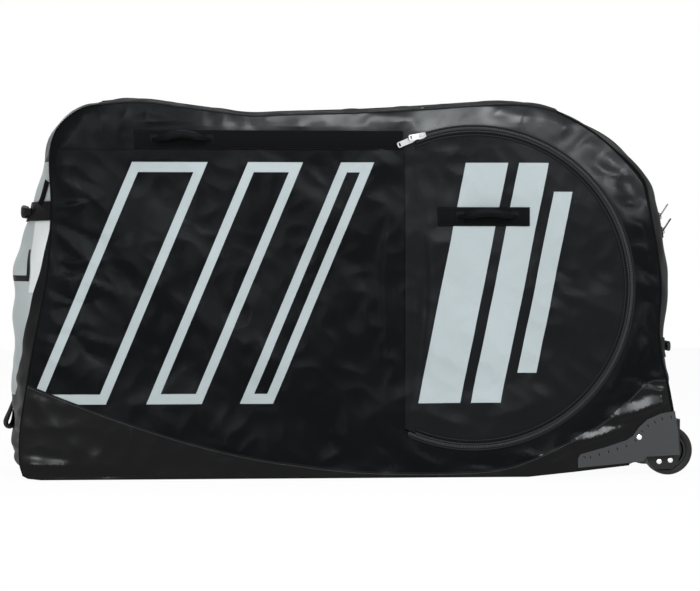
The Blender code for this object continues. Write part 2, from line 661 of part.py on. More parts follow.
def make_rear_zip(rear):
    """The main zip's tape down the rear end panel."""
    stations = [station for station in rear if station.z > REAR_ZIP_FOOT_Z and station.z < rear[-1].z]
    stations = [station_at(rear, REAR_ZIP_FOOT_Z), *stations, rear[-1]]
    half = WEBBING_WIDTH / 2
    mesh = gusset_skin(stations, (-half, 0.0, half), SEAM_GAP, TAPE_WALL)
    add_object("main_zip_tape_rear", mesh, "zip_tape")


def handle_mesh(centre, along, outward, span, bow, grip_half):
    """A handle between two round ends, bowed outward, with a thicker grip in the middle."""
    along = Vector(along)
    outward = Vector(outward)
    across = along.cross(outward)
    rings = []
    for share, rise, fullness in HANDLE_RISE_SHARES:
        half = HANDLE_END_HALF.lerp(grip_half, fullness)
        middle = Vector(centre) + along * (share - 0.5) * span + outward * bow * rise
        ring = []
        for k in range(HANDLE_SIDES):
            angle = 2 * math.pi * (k + 0.5) / HANDLE_SIDES
            ring.append(middle + outward * half.x * math.cos(angle) + across * half.y * math.sin(angle))
        rings.append(ring)
    return skin_rings(rings)


def make_side_carriers(label, side):
    """The webbing strip on the side panel and the patch on the door, each with its grab handle."""
    half = WEBBING_WIDTH / 2
    y0, y1 = layer(side, SEAM_GAP, SEAM_GAP + WEBBING_WALL)
    strip = block(STRIP_X0, STRIP_X1, y0, y1, STRIP_Z - half, STRIP_Z + half)
    add_object("side_webbing_" + label, strip, "webbing")
    door_pivot = (POCKET_SEAM_X, side * SIDE_FACE, POCKET_Z)
    patch = block(DOOR_PATCH_X - DOOR_PATCH_LENGTH / 2, DOOR_PATCH_X + DOOR_PATCH_LENGTH / 2, y0, y1,
                  DOOR_HANDLE_Z - half, DOOR_HANDLE_Z + half)
    add_object("door_webbing_" + label, patch, "webbing", door_pivot)
    axis_y = y1 + side * HANDLE_STANDOFF
    for name, x, z in (("side_handle_", SIDE_HANDLE_X, STRIP_Z),
                       ("door_handle_", DOOR_HANDLE_X, DOOR_HANDLE_Z)):
        centre = (x, axis_y, z)
        mesh = handle_mesh(centre, (1, 0, 0), (0, side, 0), HANDLE_SPAN, HANDLE_BOW, HANDLE_GRIP_HALF)
        add_object(name + label, mesh, "webbing", centre, smooth=True)


def make_end_carriers(front, rear):
    """A webbing band across each end with its handle, and the tow loop at the foot of the front."""
    half = WEBBING_WIDTH / 2
    across = across_values(GUSSET_HALF)
    ends = (
        ("front", front, -1, FRONT_HANDLE_Z, FRONT_HANDLE_SPAN, FRONT_HANDLE_BOW, FRONT_GRIP_HALF),
        ("rear", rear, 1, REAR_HANDLE_Z, REAR_HANDLE_SPAN, REAR_HANDLE_BOW, REAR_GRIP_HALF),
    )
    for label, stations, facing, z, span, bow, grip_half in ends:
        band = gusset_skin(stations_from(stations, z - half, z + half), across, BAND_GAP, WEBBING_WALL)
        add_object(label + "_webbing", band, "webbing")
        lift = BAND_GAP + WEBBING_WALL + HANDLE_STANDOFF
        centre = gusset_point(station_at(stations, z), span / 2, lift)
        centre.y = 0
        mesh = handle_mesh(centre, (0, 1, 0), (facing, 0, 0), span, bow, grip_half)
        add_object(label + "_handle", mesh, "webbing", centre, smooth=True)
    seat = gusset_point(station_at(front, TOW_LOOP_Z - TOW_LOOP_DROP), 0, TOW_LOOP_GAP + TOW_LOOP_WALL / 2)
    path = [Vector((seat.x - x * TOW_LOOP_REACH, 0, TOW_LOOP_Z - z * TOW_LOOP_DROP))
            for x, z in TOW_LOOP_SHARES]
    rings = []
    for index, point in enumerate(path):
        way = path[min(index + 1, len(path) - 1)] - path[max(index - 1, 0)]
        normal = Vector((-way.z, 0, way.x)).normalized() * TOW_LOOP_WALL / 2
        width = Vector((0, half, 0))
        rings.append([point - normal - width, point + normal - width, point + normal + width,
                      point - normal + width])
    add_object("tow_loop", skin_rings(rings), "webbing")


def make_skirt(label, side):
    """The glossy tarpaulin round the foot of a side, high at both ends and low in the middle."""
    y0, y1 = layer(side, SEAM_GAP, SEAM_GAP + SKIRT_WALL)
    foot = raised(seam_line(UNDERSIDE_SHARES[1:]), COVER_WALL + SEAM_GAP)
    seam = seam_line(smooth_rows(SKIRT_SEAM_SHARES, EDGE_STEPS))
    wheel_end = seam_line(WHEEL_END_SHARES)
    outline = seam + wheel_end[::-1] + foot[::-1] + seam_line([row[:2] for row in FRONT_EDGE_SHARES[:3]])
    hole = circle(RIVET_PLACES[0], RIVET_RADIUS + RIVET_CLEARANCE, RIVET_STEPS)
    add_object("skirt_" + label, plate(outline, y0, y1, (hole,)), "tarpaulin")


def guard_points(shares):
    """Points of the guard's outline in x and z, from shares of its length and height."""
    front = BODY_LENGTH / 2 - GUARD_END_INSET - GUARD_LENGTH
    return [Vector((front + x * GUARD_LENGTH, z * GUARD_HEIGHT)) for x, z in shares]


def guard_slots():
    """Short stitch slots in a row under the guard's upper contour, square to it."""
    line = guard_points(GUARD_TOP_SHARES)
    lengths = [(b - a).length for a, b in zip(line, line[1:])]
    total = sum(lengths)
    slots = []
    for k in range(SLOT_COUNT):
        reach = total * (k + 0.5) / SLOT_COUNT
        index = 0
        while reach > lengths[index]:
            reach -= lengths[index]
            index += 1
        way = (line[index + 1] - line[index]).normalized()
        inward = Vector((-way.y, way.x))
        middle = line[index] + way * reach + inward * SLOT_INSET
        wide = way * SLOT_WIDTH / 2
        tall = inward * SLOT_LENGTH / 2
        slots.append([middle - wide - tall, middle + wide - tall,
                      middle + wide + tall, middle - wide + tall])
    return slots


def make_guard(label, side):
    """The moulded corner guard, stitched through its slots and riveted to the housing."""
    low = 2 * SEAM_GAP + SKIRT_WALL
    y0, y1 = layer(side, low, low + GUARD_WALL)
    hole = circle(RIVET_PLACES[0], RIVET_RADIUS + RIVET_CLEARANCE, RIVET_STEPS)
    clear = [slot for slot in guard_slots() if (sum(slot, Vector((0, 0))) / 4 - RIVET_PLACES[0]).length
             > RIVET_HEAD_RADIUS + SLOT_LENGTH / 2]
    add_object("corner_guard_" + label, plate(guard_points(GUARD_SHARES), y0, y1, (hole, *clear)),
               "moulded_plastic")
    return side * (SIDE_FACE + low + GUARD_WALL)


def make_rivets(label, side, guard_face, cheek_out, cheek_in):
    """Three rivets on the backing plate that they share behind the cheek."""
    plate_y0 = cheek_in - side * SEAM_GAP
    plate_y1 = plate_y0 - side * RIVET_PLATE_WALL
    thing = None
    for start, end in zip(RIVET_PLACES, RIVET_PLACES[1:]):
        way = (end - start).normalized() * RIVET_PLATE_HALF
        out = Vector((-way.y, way.x))
        link = plate([start - way + out, start - way - out, end + way - out, end + way + out],
                     plate_y0, plate_y1)
        if thing is None:
            thing = add_object("guard_rivets_" + label, link, "steel", smooth=True)
        else:
            cut(thing, link, "UNION")
    for place, face in zip(RIVET_PLACES, (guard_face, cheek_out, cheek_out)):
        seat = face + side * SEAM_GAP
        crown = seat + side * RIVET_HEAD_HEIGHT
        rows = ((plate_y1 + side * RIVET_PLATE_WALL / 2, RIVET_RADIUS), (seat, RIVET_RADIUS),
                (seat, RIVET_HEAD_RADIUS), (seat + (crown - seat) / 2, RIVET_HEAD_RADIUS),
                (crown, RIVET_HEAD_RADIUS / 2))
        cut(thing, turned(place.x, place.y, rows, RIVET_STEPS), "UNION")


def make_wheel(label, side):
    """One wheel: the housing that carries it, its axle, hub and tyre, and the rivets."""
    y = side * WHEEL_Y
    inner_gap = WHEEL_WIDTH / 2 + CHEEK_GAP
    cheek_in = y + side * inner_gap
    cheek_out = cheek_in + side * CHEEK_WALL
    back_in = y - side * inner_gap
    back_out = back_in - side * CHEEK_WALL
    under = HOUSING_TOP_Z - HOUSING_TOP_WALL
    rings = []
    for share, height_share in CHEEK_FOOT_SHARES:
        x = CHEEK_X + share * CHEEK_LENGTH
        foot = CHEEK_FOOT_Z + height_share * (HOUSING_TOP_Z - CHEEK_FOOT_Z)
        rings.append([(x, cheek_out, foot), (x, cheek_out, HOUSING_TOP_Z), (x, back_out, HOUSING_TOP_Z),
                      (x, back_out, foot), (x, back_in, foot), (x, back_in, under), (x, cheek_in, under),
                      (x, cheek_in, foot)])
    housing = add_object("wheel_housing_" + label, skin_rings(rings), "moulded_plastic")
    bore = AXLE_RADIUS + RUNNING_GAP
    reach = ((cheek_out + side * OVERRUN, bore), (back_out - side * OVERRUN, bore))
    cut(housing, turned(WHEEL_X, WHEEL_RADIUS, reach, 2 * RIVET_STEPS))
    pivot = (WHEEL_X, y, WHEEL_RADIUS)
    tyre = turned_ring(*pivot[::2], y, TYRE_PROFILE_SHARES, WHEEL_RADIUS, WHEEL_WIDTH, WHEEL_STEPS)
    add_object("tyre_" + label, tyre, "tyre", pivot, smooth=True)
    hub = turned_ring(*pivot[::2], y, HUB_PROFILE_SHARES, HUB_RADIUS, WHEEL_WIDTH, WHEEL_STEPS)
    add_object("hub_" + label, hub, "hub", pivot, smooth=True)
    head = cheek_out + side * SEAM_GAP
    tail = back_out - side * SEAM_GAP
    rows = ((head + side * AXLE_HEAD_WALL, AXLE_HEAD_RADIUS), (head, AXLE_HEAD_RADIUS), (head, AXLE_RADIUS),
            (tail, AXLE_RADIUS), (tail, AXLE_HEAD_RADIUS), (tail - side * AXLE_HEAD_WALL, AXLE_HEAD_RADIUS))
    add_object("axle_" + label, turned(WHEEL_X, WHEEL_RADIUS, rows, 2 * RIVET_STEPS), "steel", smooth=True)
    for place in RIVET_PLACES[1:]:
        through = ((cheek_out + side * OVERRUN, RIVET_RADIUS + RIVET_CLEARANCE),
                   (cheek_in - side * OVERRUN, RIVET_RADIUS + RIVET_CLEARANCE))
        cut(housing, turned(place.x, place.y, through, RIVET_STEPS))
    return cheek_out, cheek_in


def make_beam():
    """The channel that ties the two wheel housings together under the step of the base board."""
    reach = WHEEL_Y - WHEEL_WIDTH / 2 - CHEEK_GAP - CHEEK_WALL - SEAM_GAP
    x0 = CHEEK_X
    x1 = x0 + BEAM_LENGTH
    top = HOUSING_TOP_Z
    foot = top - BEAM_HEIGHT
    outline = ((x0, foot), (x0 + BEAM_WALL, foot), (x0 + BEAM_WALL, top - BEAM_WALL),
               (x1 - BEAM_WALL, top - BEAM_WALL), (x1 - BEAM_WALL, foot), (x1, foot), (x1, top), (x0, top))
    add_object("rear_beam", plate(outline, -reach, reach), "moulded_plastic")


def main():
    clear_scene()
    front = edge_stations(FRONT_EDGE_SHARES, -1)
    rear = edge_stations(REAR_EDGE_SHARES, 1)
    make_base(front, rear)
    make_ends(front, rear)
    make_rear_zip(rear)
    make_main_sliders(rear)
    make_end_carriers(front, rear)
    make_beam()
    for label, side in SIDES:
        make_side_panel(label, side, front, rear)
        make_flap(label, side)
        make_pocket(label, side)
        make_pocket_sliders(label, side)
        make_side_carriers(label, side)
        make_skirt(label, side)
        guard_face = make_guard(label, side)
        cheek_out, cheek_in = make_wheel(label, side)
        make_rivets(label, side, guard_face, cheek_out, cheek_in)


main()
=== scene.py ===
# %% [markdown]
# # A soft travel bag for one bicycle
#
# The rigid frame of the model is already made: plates, wheels, zip sliders and joints, in metres. This
# lesson dresses it in cloth. The bag lies along X, its photographed near side faces -Y and Z is up. Each
# cloth piece is a grid whose points a small formula lays over the frame, so a seam that two pieces share
# comes out of one set of numbers.

import copy
import math

import bmesh
import bpy
import numpy as np
from mathutils import Matrix, Vector


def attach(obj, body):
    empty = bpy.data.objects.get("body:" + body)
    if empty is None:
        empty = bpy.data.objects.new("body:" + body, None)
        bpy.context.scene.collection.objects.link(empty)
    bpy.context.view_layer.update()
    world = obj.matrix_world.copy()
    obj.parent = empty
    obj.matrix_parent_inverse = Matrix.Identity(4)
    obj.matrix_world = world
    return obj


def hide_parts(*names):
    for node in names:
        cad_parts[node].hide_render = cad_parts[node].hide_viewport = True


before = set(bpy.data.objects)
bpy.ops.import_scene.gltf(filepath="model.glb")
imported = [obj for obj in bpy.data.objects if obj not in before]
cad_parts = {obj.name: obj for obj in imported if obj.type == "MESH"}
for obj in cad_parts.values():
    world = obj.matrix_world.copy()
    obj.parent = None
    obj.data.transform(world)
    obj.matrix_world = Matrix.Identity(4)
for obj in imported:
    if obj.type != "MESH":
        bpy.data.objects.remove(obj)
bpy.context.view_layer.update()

# %% [markdown]
# ## The sizes that carry over from the frame
#
# The side seam is the line where a flat side meets a bulging end or the top. It is written as rows of x
# and z on the seam, how far the end panel bulges out of it in its middle, and how far that bulge leans
# from level to upright. A curve through the rows gives as many points as a piece needs.

# %% Seam rows in metres, lean in degrees
SIDES = (("near", -1), ("far", 1))
FACE = 0.150          # from the middle plane to the flat side
PANEL_HALF = 0.1416   # half the width of an end panel's bulge
BAND_HALF = 0.1425    # half the length of a webbing band across an end, where the folds end too
CLOTH = 0.0025        # wall of the padded cloth
FRONT_SEAM = np.array([
    (-0.6499, 0.0120, 0.0000, 0), (-0.6566, 0.0398, 0.0176, 0), (-0.6553, 0.0998, 0.0240, 0),
    (-0.6419, 0.1913, 0.0368, 0), (-0.6285, 0.2693, 0.0512, 0), (-0.6110, 0.3570, 0.0672, 0),
    (-0.6010, 0.4200, 0.0768, 0), (-0.5963, 0.4748, 0.0640, 0), (-0.5930, 0.5498, 0.0464, 0),
    (-0.5963, 0.6398, 0.0176, 4.5), (-0.5849, 0.6900, 0.0144, 22.5), (-0.5601, 0.7200, 0.0140, 49.5),
    (-0.5300, 0.7380, 0.0140, 72), (-0.4998, 0.7451, 0.0140, 90)])
REAR_SEAM = np.array([
    (0.6566, 0.1200, 0.0080, 0), (0.6519, 0.1568, 0.0144, 0), (0.6459, 0.1898, 0.0208, 0),
    (0.6318, 0.2393, 0.0288, 0), (0.6238, 0.3000, 0.0352, 0), (0.6332, 0.3593, 0.0368, 0),
    (0.6298, 0.4118, 0.0400, 0), (0.6220, 0.4740, 0.0400, 0), (0.6110, 0.5273, 0.0400, 0),
    (0.6001, 0.5798, 0.0400, 0), (0.5970, 0.5948, 0.0400, 0), (0.5682, 0.6293, 0.0320, 22.5),
    (0.5199, 0.6773, 0.0224, 45), (0.4757, 0.7080, 0.0160, 67.5), (0.4201, 0.7358, 0.0140, 90)])
TOP_SEAM = np.array([
    (-0.4998, 0.7451), (-0.4502, 0.7500), (-0.4007, 0.7500), (-0.3404, 0.7418), (-0.2600, 0.7313),
    (-0.1943, 0.7241), (-0.1206, 0.7268), (0.0201, 0.7313), (0.1501, 0.7388), (0.2801, 0.7478),
    (0.3404, 0.7493), (0.3899, 0.7433), (0.4201, 0.7358)])
SKIRT_SEAM = np.array([
    (-0.4785, 0.253), (-0.4080, 0.203), (-0.3255, 0.149), (-0.2345, 0.097), (-0.1625, 0.065),
    (-0.0940, 0.043), (0.0150, 0.020), (0.1500, 0.015), (0.2360, 0.028), (0.3090, 0.079),
    (0.3720, 0.137), (0.4135, 0.196), (0.4510, 0.257), (0.4780, 0.263)]) * (1.340, 0.750)
WHEEL_END = [(0.5950, 0.0368), (0.6017, 0.0420), (0.6633, 0.0450)]
UNDERSIDE = [(-0.6519, 0.0090), (-0.6405, 0.0030), (-0.6151, 0.0), (0.3605, 0.0), (0.4596, 0.0100),
             (0.5662, 0.0220)]
HINGE_Z = 0.7150                    # the top flaps' hinge line
POCKET = np.array((0.250, 0.381))   # centre of the round pocket
ZIP_RADIUS = 0.316
SEAM_X = 0.110                      # the pocket door's upright seam
ROLL = 0.0065                       # how far the padded side rolls in at its seams
FAR_SHIFT = 0.021                   # how far the far side's folds are moved
STRIP = (-0.430, 0.106, 0.676)      # webbing along the side: from x, to x, at z
PATCH = (0.176, 0.362, 0.524)       # webbing across the pocket door
STRAP_WIDTH = 0.038
HELD_FLAT = ((-0.162, 0.676, 0.270), (0.269, 0.524, 0.093))  # under both: centre x, z, half length
GUARD_X = (0.4603, 0.465, 0.516, 0.5581, 0.5722, 0.5849, 0.6017, 0.6298, 0.658)
GUARD_Z = (0.036, 0.045, 0.0592, 0.0728, 0.0817, 0.0998, 0.1148, 0.1267, 0.1316)


def curve_through(rows, steps):
    """Catmull-Rom points through rows of numbers, the same count between each two rows."""
    rows = np.asarray(rows, float)
    padded = np.vstack([rows[:1], rows, rows[-1:]])
    t = np.linspace(0, 1, steps, endpoint=False)[:, None]
    parts = []
    for a, b, c, d in zip(padded, padded[1:], padded[2:], padded[3:]):
        parts.append(b + 0.5 * t * (c - a + t * (2 * a - 5 * b + 4 * c - d + t * (3 * (b - c) + d - a))))
    return np.vstack(parts + [rows[-1:]])


def evenly(points, count):
    """The same line, with its points set evenly along its length."""
    points = np.asarray(points, float)
    reach = np.concatenate([[0], np.cumsum(np.linalg.norm(np.diff(points, axis=0), axis=1))])
    places = np.linspace(0, reach[-1], count)
    return np.stack([np.interp(places, reach, column) for column in points.T], axis=1)


def softened(rows, passes):
    """The same rows with their corners eased, both ends kept."""
    rows = rows.copy()
    for _ in range(passes):
        rows[1:-1] = (rows[:-2] + 2 * rows[1:-1] + rows[2:]) / 4
    return rows


def row_at(rows, u, columns):
    """The first columns of some rows, read at a share along them."""
    place = np.clip(u, 0, 1) * (len(rows) - 1)
    return [np.interp(place, np.arange(len(rows)), rows[:, k]) for k in range(columns)]


front_seam = curve_through(FRONT_SEAM, 12)
rear_seam = softened(curve_through(REAR_SEAM, 12), 90)
top_seam = curve_through(TOP_SEAM, 8)
skirt_seam = curve_through(SKIRT_SEAM, 5)
print("seam points", len(front_seam), len(rear_seam), len(top_seam))

# %% [markdown]
# ## How the side cloth swells and folds
#
# Coated nylon holds a crease: long soft waves pull between the corners, and short sharp ones gather
# where a seam or a strap takes the load. A cloth simulation could find them, but the side shares its seams
# with the ends, the top and the door, and webbing, zips and print lie on it. So each crease is a line with
# a height and a width in one formula, which all of these follow, and nothing sinks into the cloth. Long
# folds run on at one height and have flat flanks, so that they catch the light as a band.

# %% Creases as x, z, x, z, width, height in millimetres
NEAR_CREASES = (
    # broad waves across the left field
    (-560, 560, -60, 200, 46, 5.5), (-470, 640, -120, 430, 60, -4.0), (-640, 330, -250, 60, 55, 4.5),
    (-330, 330, 60, 90, 48, 4.0), (-150, 640, 60, 330, 60, 3.0), (-560, 120, -200, 330, 50, -3.5),
    # gathers out of the front handle's seam
    (-596, 545, -500, 560, 9, 3.0), (-598, 520, -440, 470, 13, -3.5), (-590, 500, -490, 420, 12, 3.5),
    (-600, 470, -520, 380, 10, -3.0), (-585, 600, -470, 520, 14, 3.0), (-560, 640, -500, 540, 16, -2.5),
    (-600, 440, -480, 440, 9, 2.5), (-605, 410, -450, 360, 13, 4.0), (-600, 380, -520, 350, 8, -3.0),
    (-610, 340, -480, 370, 11, -3.0), (-590, 320, -430, 260, 15, 3.5), (-600, 290, -520, 300, 9, -2.5),
    (-560, 300, -470, 220, 14, -3.0), (-610, 260, -530, 200, 12, 2.5),
    # under the strip and by the dip in the top
    (-460, 700, -300, 705, 12, 2.5), (-250, 712, -130, 690, 14, -3.5), (-215, 712, -180, 640, 13, 3.0),
    (-160, 705, -60, 712, 10, 2.5), (40, 712, 104, 640, 12, -3.5), (70, 700, 20, 560, 18, 3.0),
    (100, 640, 100, 130, 12, 2.6),
    # the right field, outside the zip
    (470, 640, 590, 600, 14, 2.5), (520, 560, 612, 560, 12, -3.0), (545, 520, 615, 490, 9, 2.5),
    (560, 470, 625, 460, 11, 3.0), (570, 440, 628, 400, 9, -3.5), (560, 400, 630, 380, 10, 3.5),
    (575, 370, 628, 330, 9, -3.5), (600, 350, 575, 250, 10, 4.5), (612, 320, 570, 205, 15, 6.5),
    (608, 318, 640, 252, 9, -5.0), (600, 196, 650, 191, 8, 3.5), (560, 212, 640, 176, 14, -3.0),
    (350, 40, 440, 62, 14, 3.5),
    # under the pocket and along the foot
    (110, 70, 190, 20, 15, 3.5), (40, 120, 100, 20, 17, -3.5), (-60, 150, 60, 20, 26, 3.5),
    (190, 40, 320, 30, 12, -2.5), (300, 50, 420, 25, 11, 2.5), (-300, 70, -200, 45, 12, 1.5),
)
# long folds as x, z, x, z, width of the flank on the left, on the right, and height
LONG_FOLDS = (
    (434, 64, 566, 100, 21, 13, 6.8), (508, 110, 662, 160, 27, 14, 8.7), (514, 150, 588, 312, 18, 10, 6.2),
    (632, 222, 577, 332, 8, 15, 5.6), (-690, 38, -540, 24, 22, 12, 4.7),
)
DOOR_CREASES = (
    (119, 640, 119, 120, 13, -5.8), (160, 660, 260, 650, 16, 2.0), (330, 640, 470, 520, 40, 3.0),
    (390, 470, 440, 500, 9, 1.6), (400, 430, 470, 400, 11, -1.8), (420, 380, 480, 360, 9, 1.8),
    (330, 330, 470, 300, 22, 3.0), (190, 170, 360, 210, 30, -5.0), (250, 120, 420, 170, 26, 4.5),
    (140, 140, 260, 100, 14, 3.0), (120, 380, 150, 300, 10, 1.8), (150, 260, 250, 230, 20, 2.0),
    (200, 480, 330, 450, 40, 2.0),
)


def ripples(p, q, wavelength, seed, waves=14):
    """Smooth noise between about -1 and 1: a sum of sine waves in random directions."""
    picks = np.random.default_rng(seed)
    total = np.zeros_like(p)
    for _ in range(waves):
        way = picks.uniform(0, 2 * math.pi)
        rate = 2 * math.pi / (wavelength * picks.uniform(0.7, 1.5))
        total += np.sin(rate * (p * math.cos(way) + q * math.sin(way)) + picks.uniform(0, 2 * math.pi))
    return total / math.sqrt(waves)


def fold_place(x, z, line):
    """The share along a fold's line, how far across it a point lies, and the line's length, in metres."""
    start = np.array(line[:2]) / 1000
    run = np.array(line[2:4]) / 1000 - start
    length = np.linalg.norm(run)
    run /= length
    s = ((x - start[0]) * run[0] + (z - start[1]) * run[1]) / length
    return s, (x - start[0]) * -run[1] + (z - start[1]) * run[0], length


def eased(share):
    """A share with its start and end made gentle."""
    return share ** 2 * (3 - 2 * share)


def crease_height(x, z, creases):
    """The sum of all creases at one place: each a ridge, steeper on one flank, that fades out at its ends."""
    total = np.zeros_like(x)
    for *line, width, height in creases:
        s, across, length = fold_place(x, z, line)
        bend = 0.18 * length * np.sin(math.pi * np.clip(s, 0, 1)) * (1 if int(line[0] + line[3]) % 2 else -1)
        across = across - bend * 0.35
        fade = np.clip(1.15 - np.abs(2 * s - 1), 0, 1) ** 1.2
        skew = np.where(across * (1 if width % 2 else -1) > 0, 0.6, 1.4)
        total += height / 1000 * fade * np.exp(-np.abs(across * 1000 / (width * skew)) ** 1.45)
    return total


def long_folds(x, z):
    """The height of the long folds, and how much of the smaller folds they take away."""
    total = np.zeros_like(x)
    near = np.zeros_like(x)
    for *line, left, right, height in LONG_FOLDS:
        s, across, length = fold_place(x, z, line)
        across = across + 0.05 * length * (4 * s * (1 - s) - 0.5)
        tent = np.clip(1 - np.abs(across) * 1000 / np.where(across > 0, left, right), 0, 1)
        ends = eased(np.clip(5.0 * np.minimum(s, 1 - s), 0, 1))
        total += height / 1000 * ends * (tent + eased(tent)) / 2
        near = np.maximum(near, ends * np.clip(2.5 * tent, 0, 1))
    return total, near


def edge_fade(x, z, reach):
    """0 on the outline of the side, 1 from reach metres inside it."""
    lines = (front_seam[:, :2], rear_seam[:, :2], top_seam, np.array(UNDERSIDE))
    return np.clip(seam_gap(x, z, lines) / reach, 0, 1) ** 0.7


def seam_gap(x, z, lines):
    """The distance from each point to the nearest of some lines."""
    gap = np.full_like(x, 1.0)
    for line in lines:
        for (ax, az), (bx, bz) in zip(line[:-1:3], line[3::3]):
            length = (bx - ax) ** 2 + (bz - az) ** 2
            s = np.clip(((x - ax) * (bx - ax) + (z - az) * (bz - az)) / length, 0, 1)
            gap = np.minimum(gap, np.hypot(x - ax - s * (bx - ax), z - az - s * (bz - az)))
    return gap


def guard_fade(x, z, reach):
    """0 behind the corner guard, 1 from reach metres outside its upper contour."""
    return np.clip(np.maximum(z - np.interp(x, GUARD_X, GUARD_Z), GUARD_X[0] - x) / reach, 0, 1)


def roll_in(x, z):
    """How far the padded panel rolls in towards its seams, in a broader curve at the upper corner."""
    gap = seam_gap(x, z, (front_seam[:, :2], rear_seam[:, :2], top_seam))
    low = np.clip((z - 0.012) / 0.06, 0, 1)
    high = np.clip((x + 0.05) / 0.25, 0, 1) * np.clip((z - 0.40) / 0.20, 0, 1)
    outside = np.maximum(np.hypot(x - POCKET[0], z - POCKET[1]) - ZIP_RADIUS, 0)
    band = np.clip(gap + outside + 0.004, 0.02, 0.085)
    plain = ROLL * np.clip(1 - gap / 0.055, 0, 1) ** 2
    broad = 0.20 * band * np.clip(1 - gap / band, 0, 1) ** 1.25
    return (plain + high * (broad - plain)) * low * guard_fade(x, z, 0.03)


def under_skirt(x, z, reach):
    """How far below the skirt's seam a point is, in shares of a reach."""
    return (np.interp(x, skirt_seam[:, 0], skirt_seam[:, 1]) - z) / reach


def off_webbing(x, z, box):
    """The distance from a length of webbing of centre x, z and half length."""
    return np.hypot(np.maximum(np.abs(x - box[0]) - box[2], 0),
                    np.maximum(np.abs(z - box[1]) - STRAP_WIDTH / 2, 0))


def swell(side, x, z):
    """How far the outer cloth of a side stands off the flat side plane."""
    x = np.asarray(x, float)
    z = np.asarray(z, float)
    shift = 0.0 if side < 0 else FAR_SHIFT
    moved = (x + shift, z - shift)
    radius = np.hypot(x - POCKET[0], z - POCKET[1])
    in_door = (radius < ZIP_RADIUS) & (x > SEAM_X)
    folds = np.where(in_door, crease_height(*moved, DOOR_CREASES), crease_height(*moved, NEAR_CREASES))
    waves = 0.0024 * ripples(x, z, 0.22, 3 + side) + 0.0011 * ripples(x, z, 0.085, 11 + side)
    small = 0.0014 * (0.5 - np.abs(ripples(x, z, 0.075, 23 + side)))
    calm = np.clip(np.abs(radius - ZIP_RADIUS - 0.004) / 0.045, 0.0, 1) ** 0.8
    calm = np.where(x > SEAM_X - 0.01, calm, np.clip(calm + (SEAM_X - x) / 0.05, 0, 1))
    crown = np.where(in_door, 0.0045 * np.clip(1 - ((radius / ZIP_RADIUS) ** 2), 0, 1), 0)
    long, near = long_folds(*moved)
    film = np.clip(under_skirt(x, z, 0.02), 0, 1)
    folds = 1.5 * folds + (waves + small) * (1 - 0.45 * film)
    total = folds * (1 - 0.8 * near) + long + crown
    sewn = np.clip(0.25 + np.minimum(*[off_webbing(x, z, box) for box in HELD_FLAT]) / 0.04, 0, 1)
    total = total * calm * sewn * edge_fade(x, z, 0.022) * guard_fade(x, z, 0.012)
    return np.clip(total, -0.0085, 0.0150) - roll_in(x, z)


def on_side(side, line, lift):
    """Points of x and z laid on the side cloth, lifted off it."""
    line = np.asarray(line, float)
    y = side * (FACE + swell(side, line[:, 0], line[:, 1]) + lift)
    return np.stack([line[:, 0], y, line[:, 1]], axis=1)


probe = swell(-1, *np.meshgrid(np.linspace(-0.6, 0.6, 60), np.linspace(0.05, 0.7, 40)))
print("side cloth stands off by", [round(float(end) * 1000, 1) for end in (probe.min(), probe.max())], "mm")

# %% [markdown]
# ## Colours and shader nodes
#
# Colours are read off the real object as sRGB hex values and made linear once. Nodes could be placed by
# hand, but a dozen finishes share the same few. So a node's output is wrapped in a small class, and Python's
# own operators add the Math nodes: z < 0.5 is a Less Than node, and so on.

# %% Node helpers
def paint(code):
    """A hex colour as linear red, green, blue, alpha."""
    channels = [int(code[i:i + 2], 16) / 255 for i in (1, 3, 5)]
    return (*[c / 12.92 if c <= 0.04045 else ((c + 0.055) / 1.055) ** 2.4 for c in channels], 1.0)


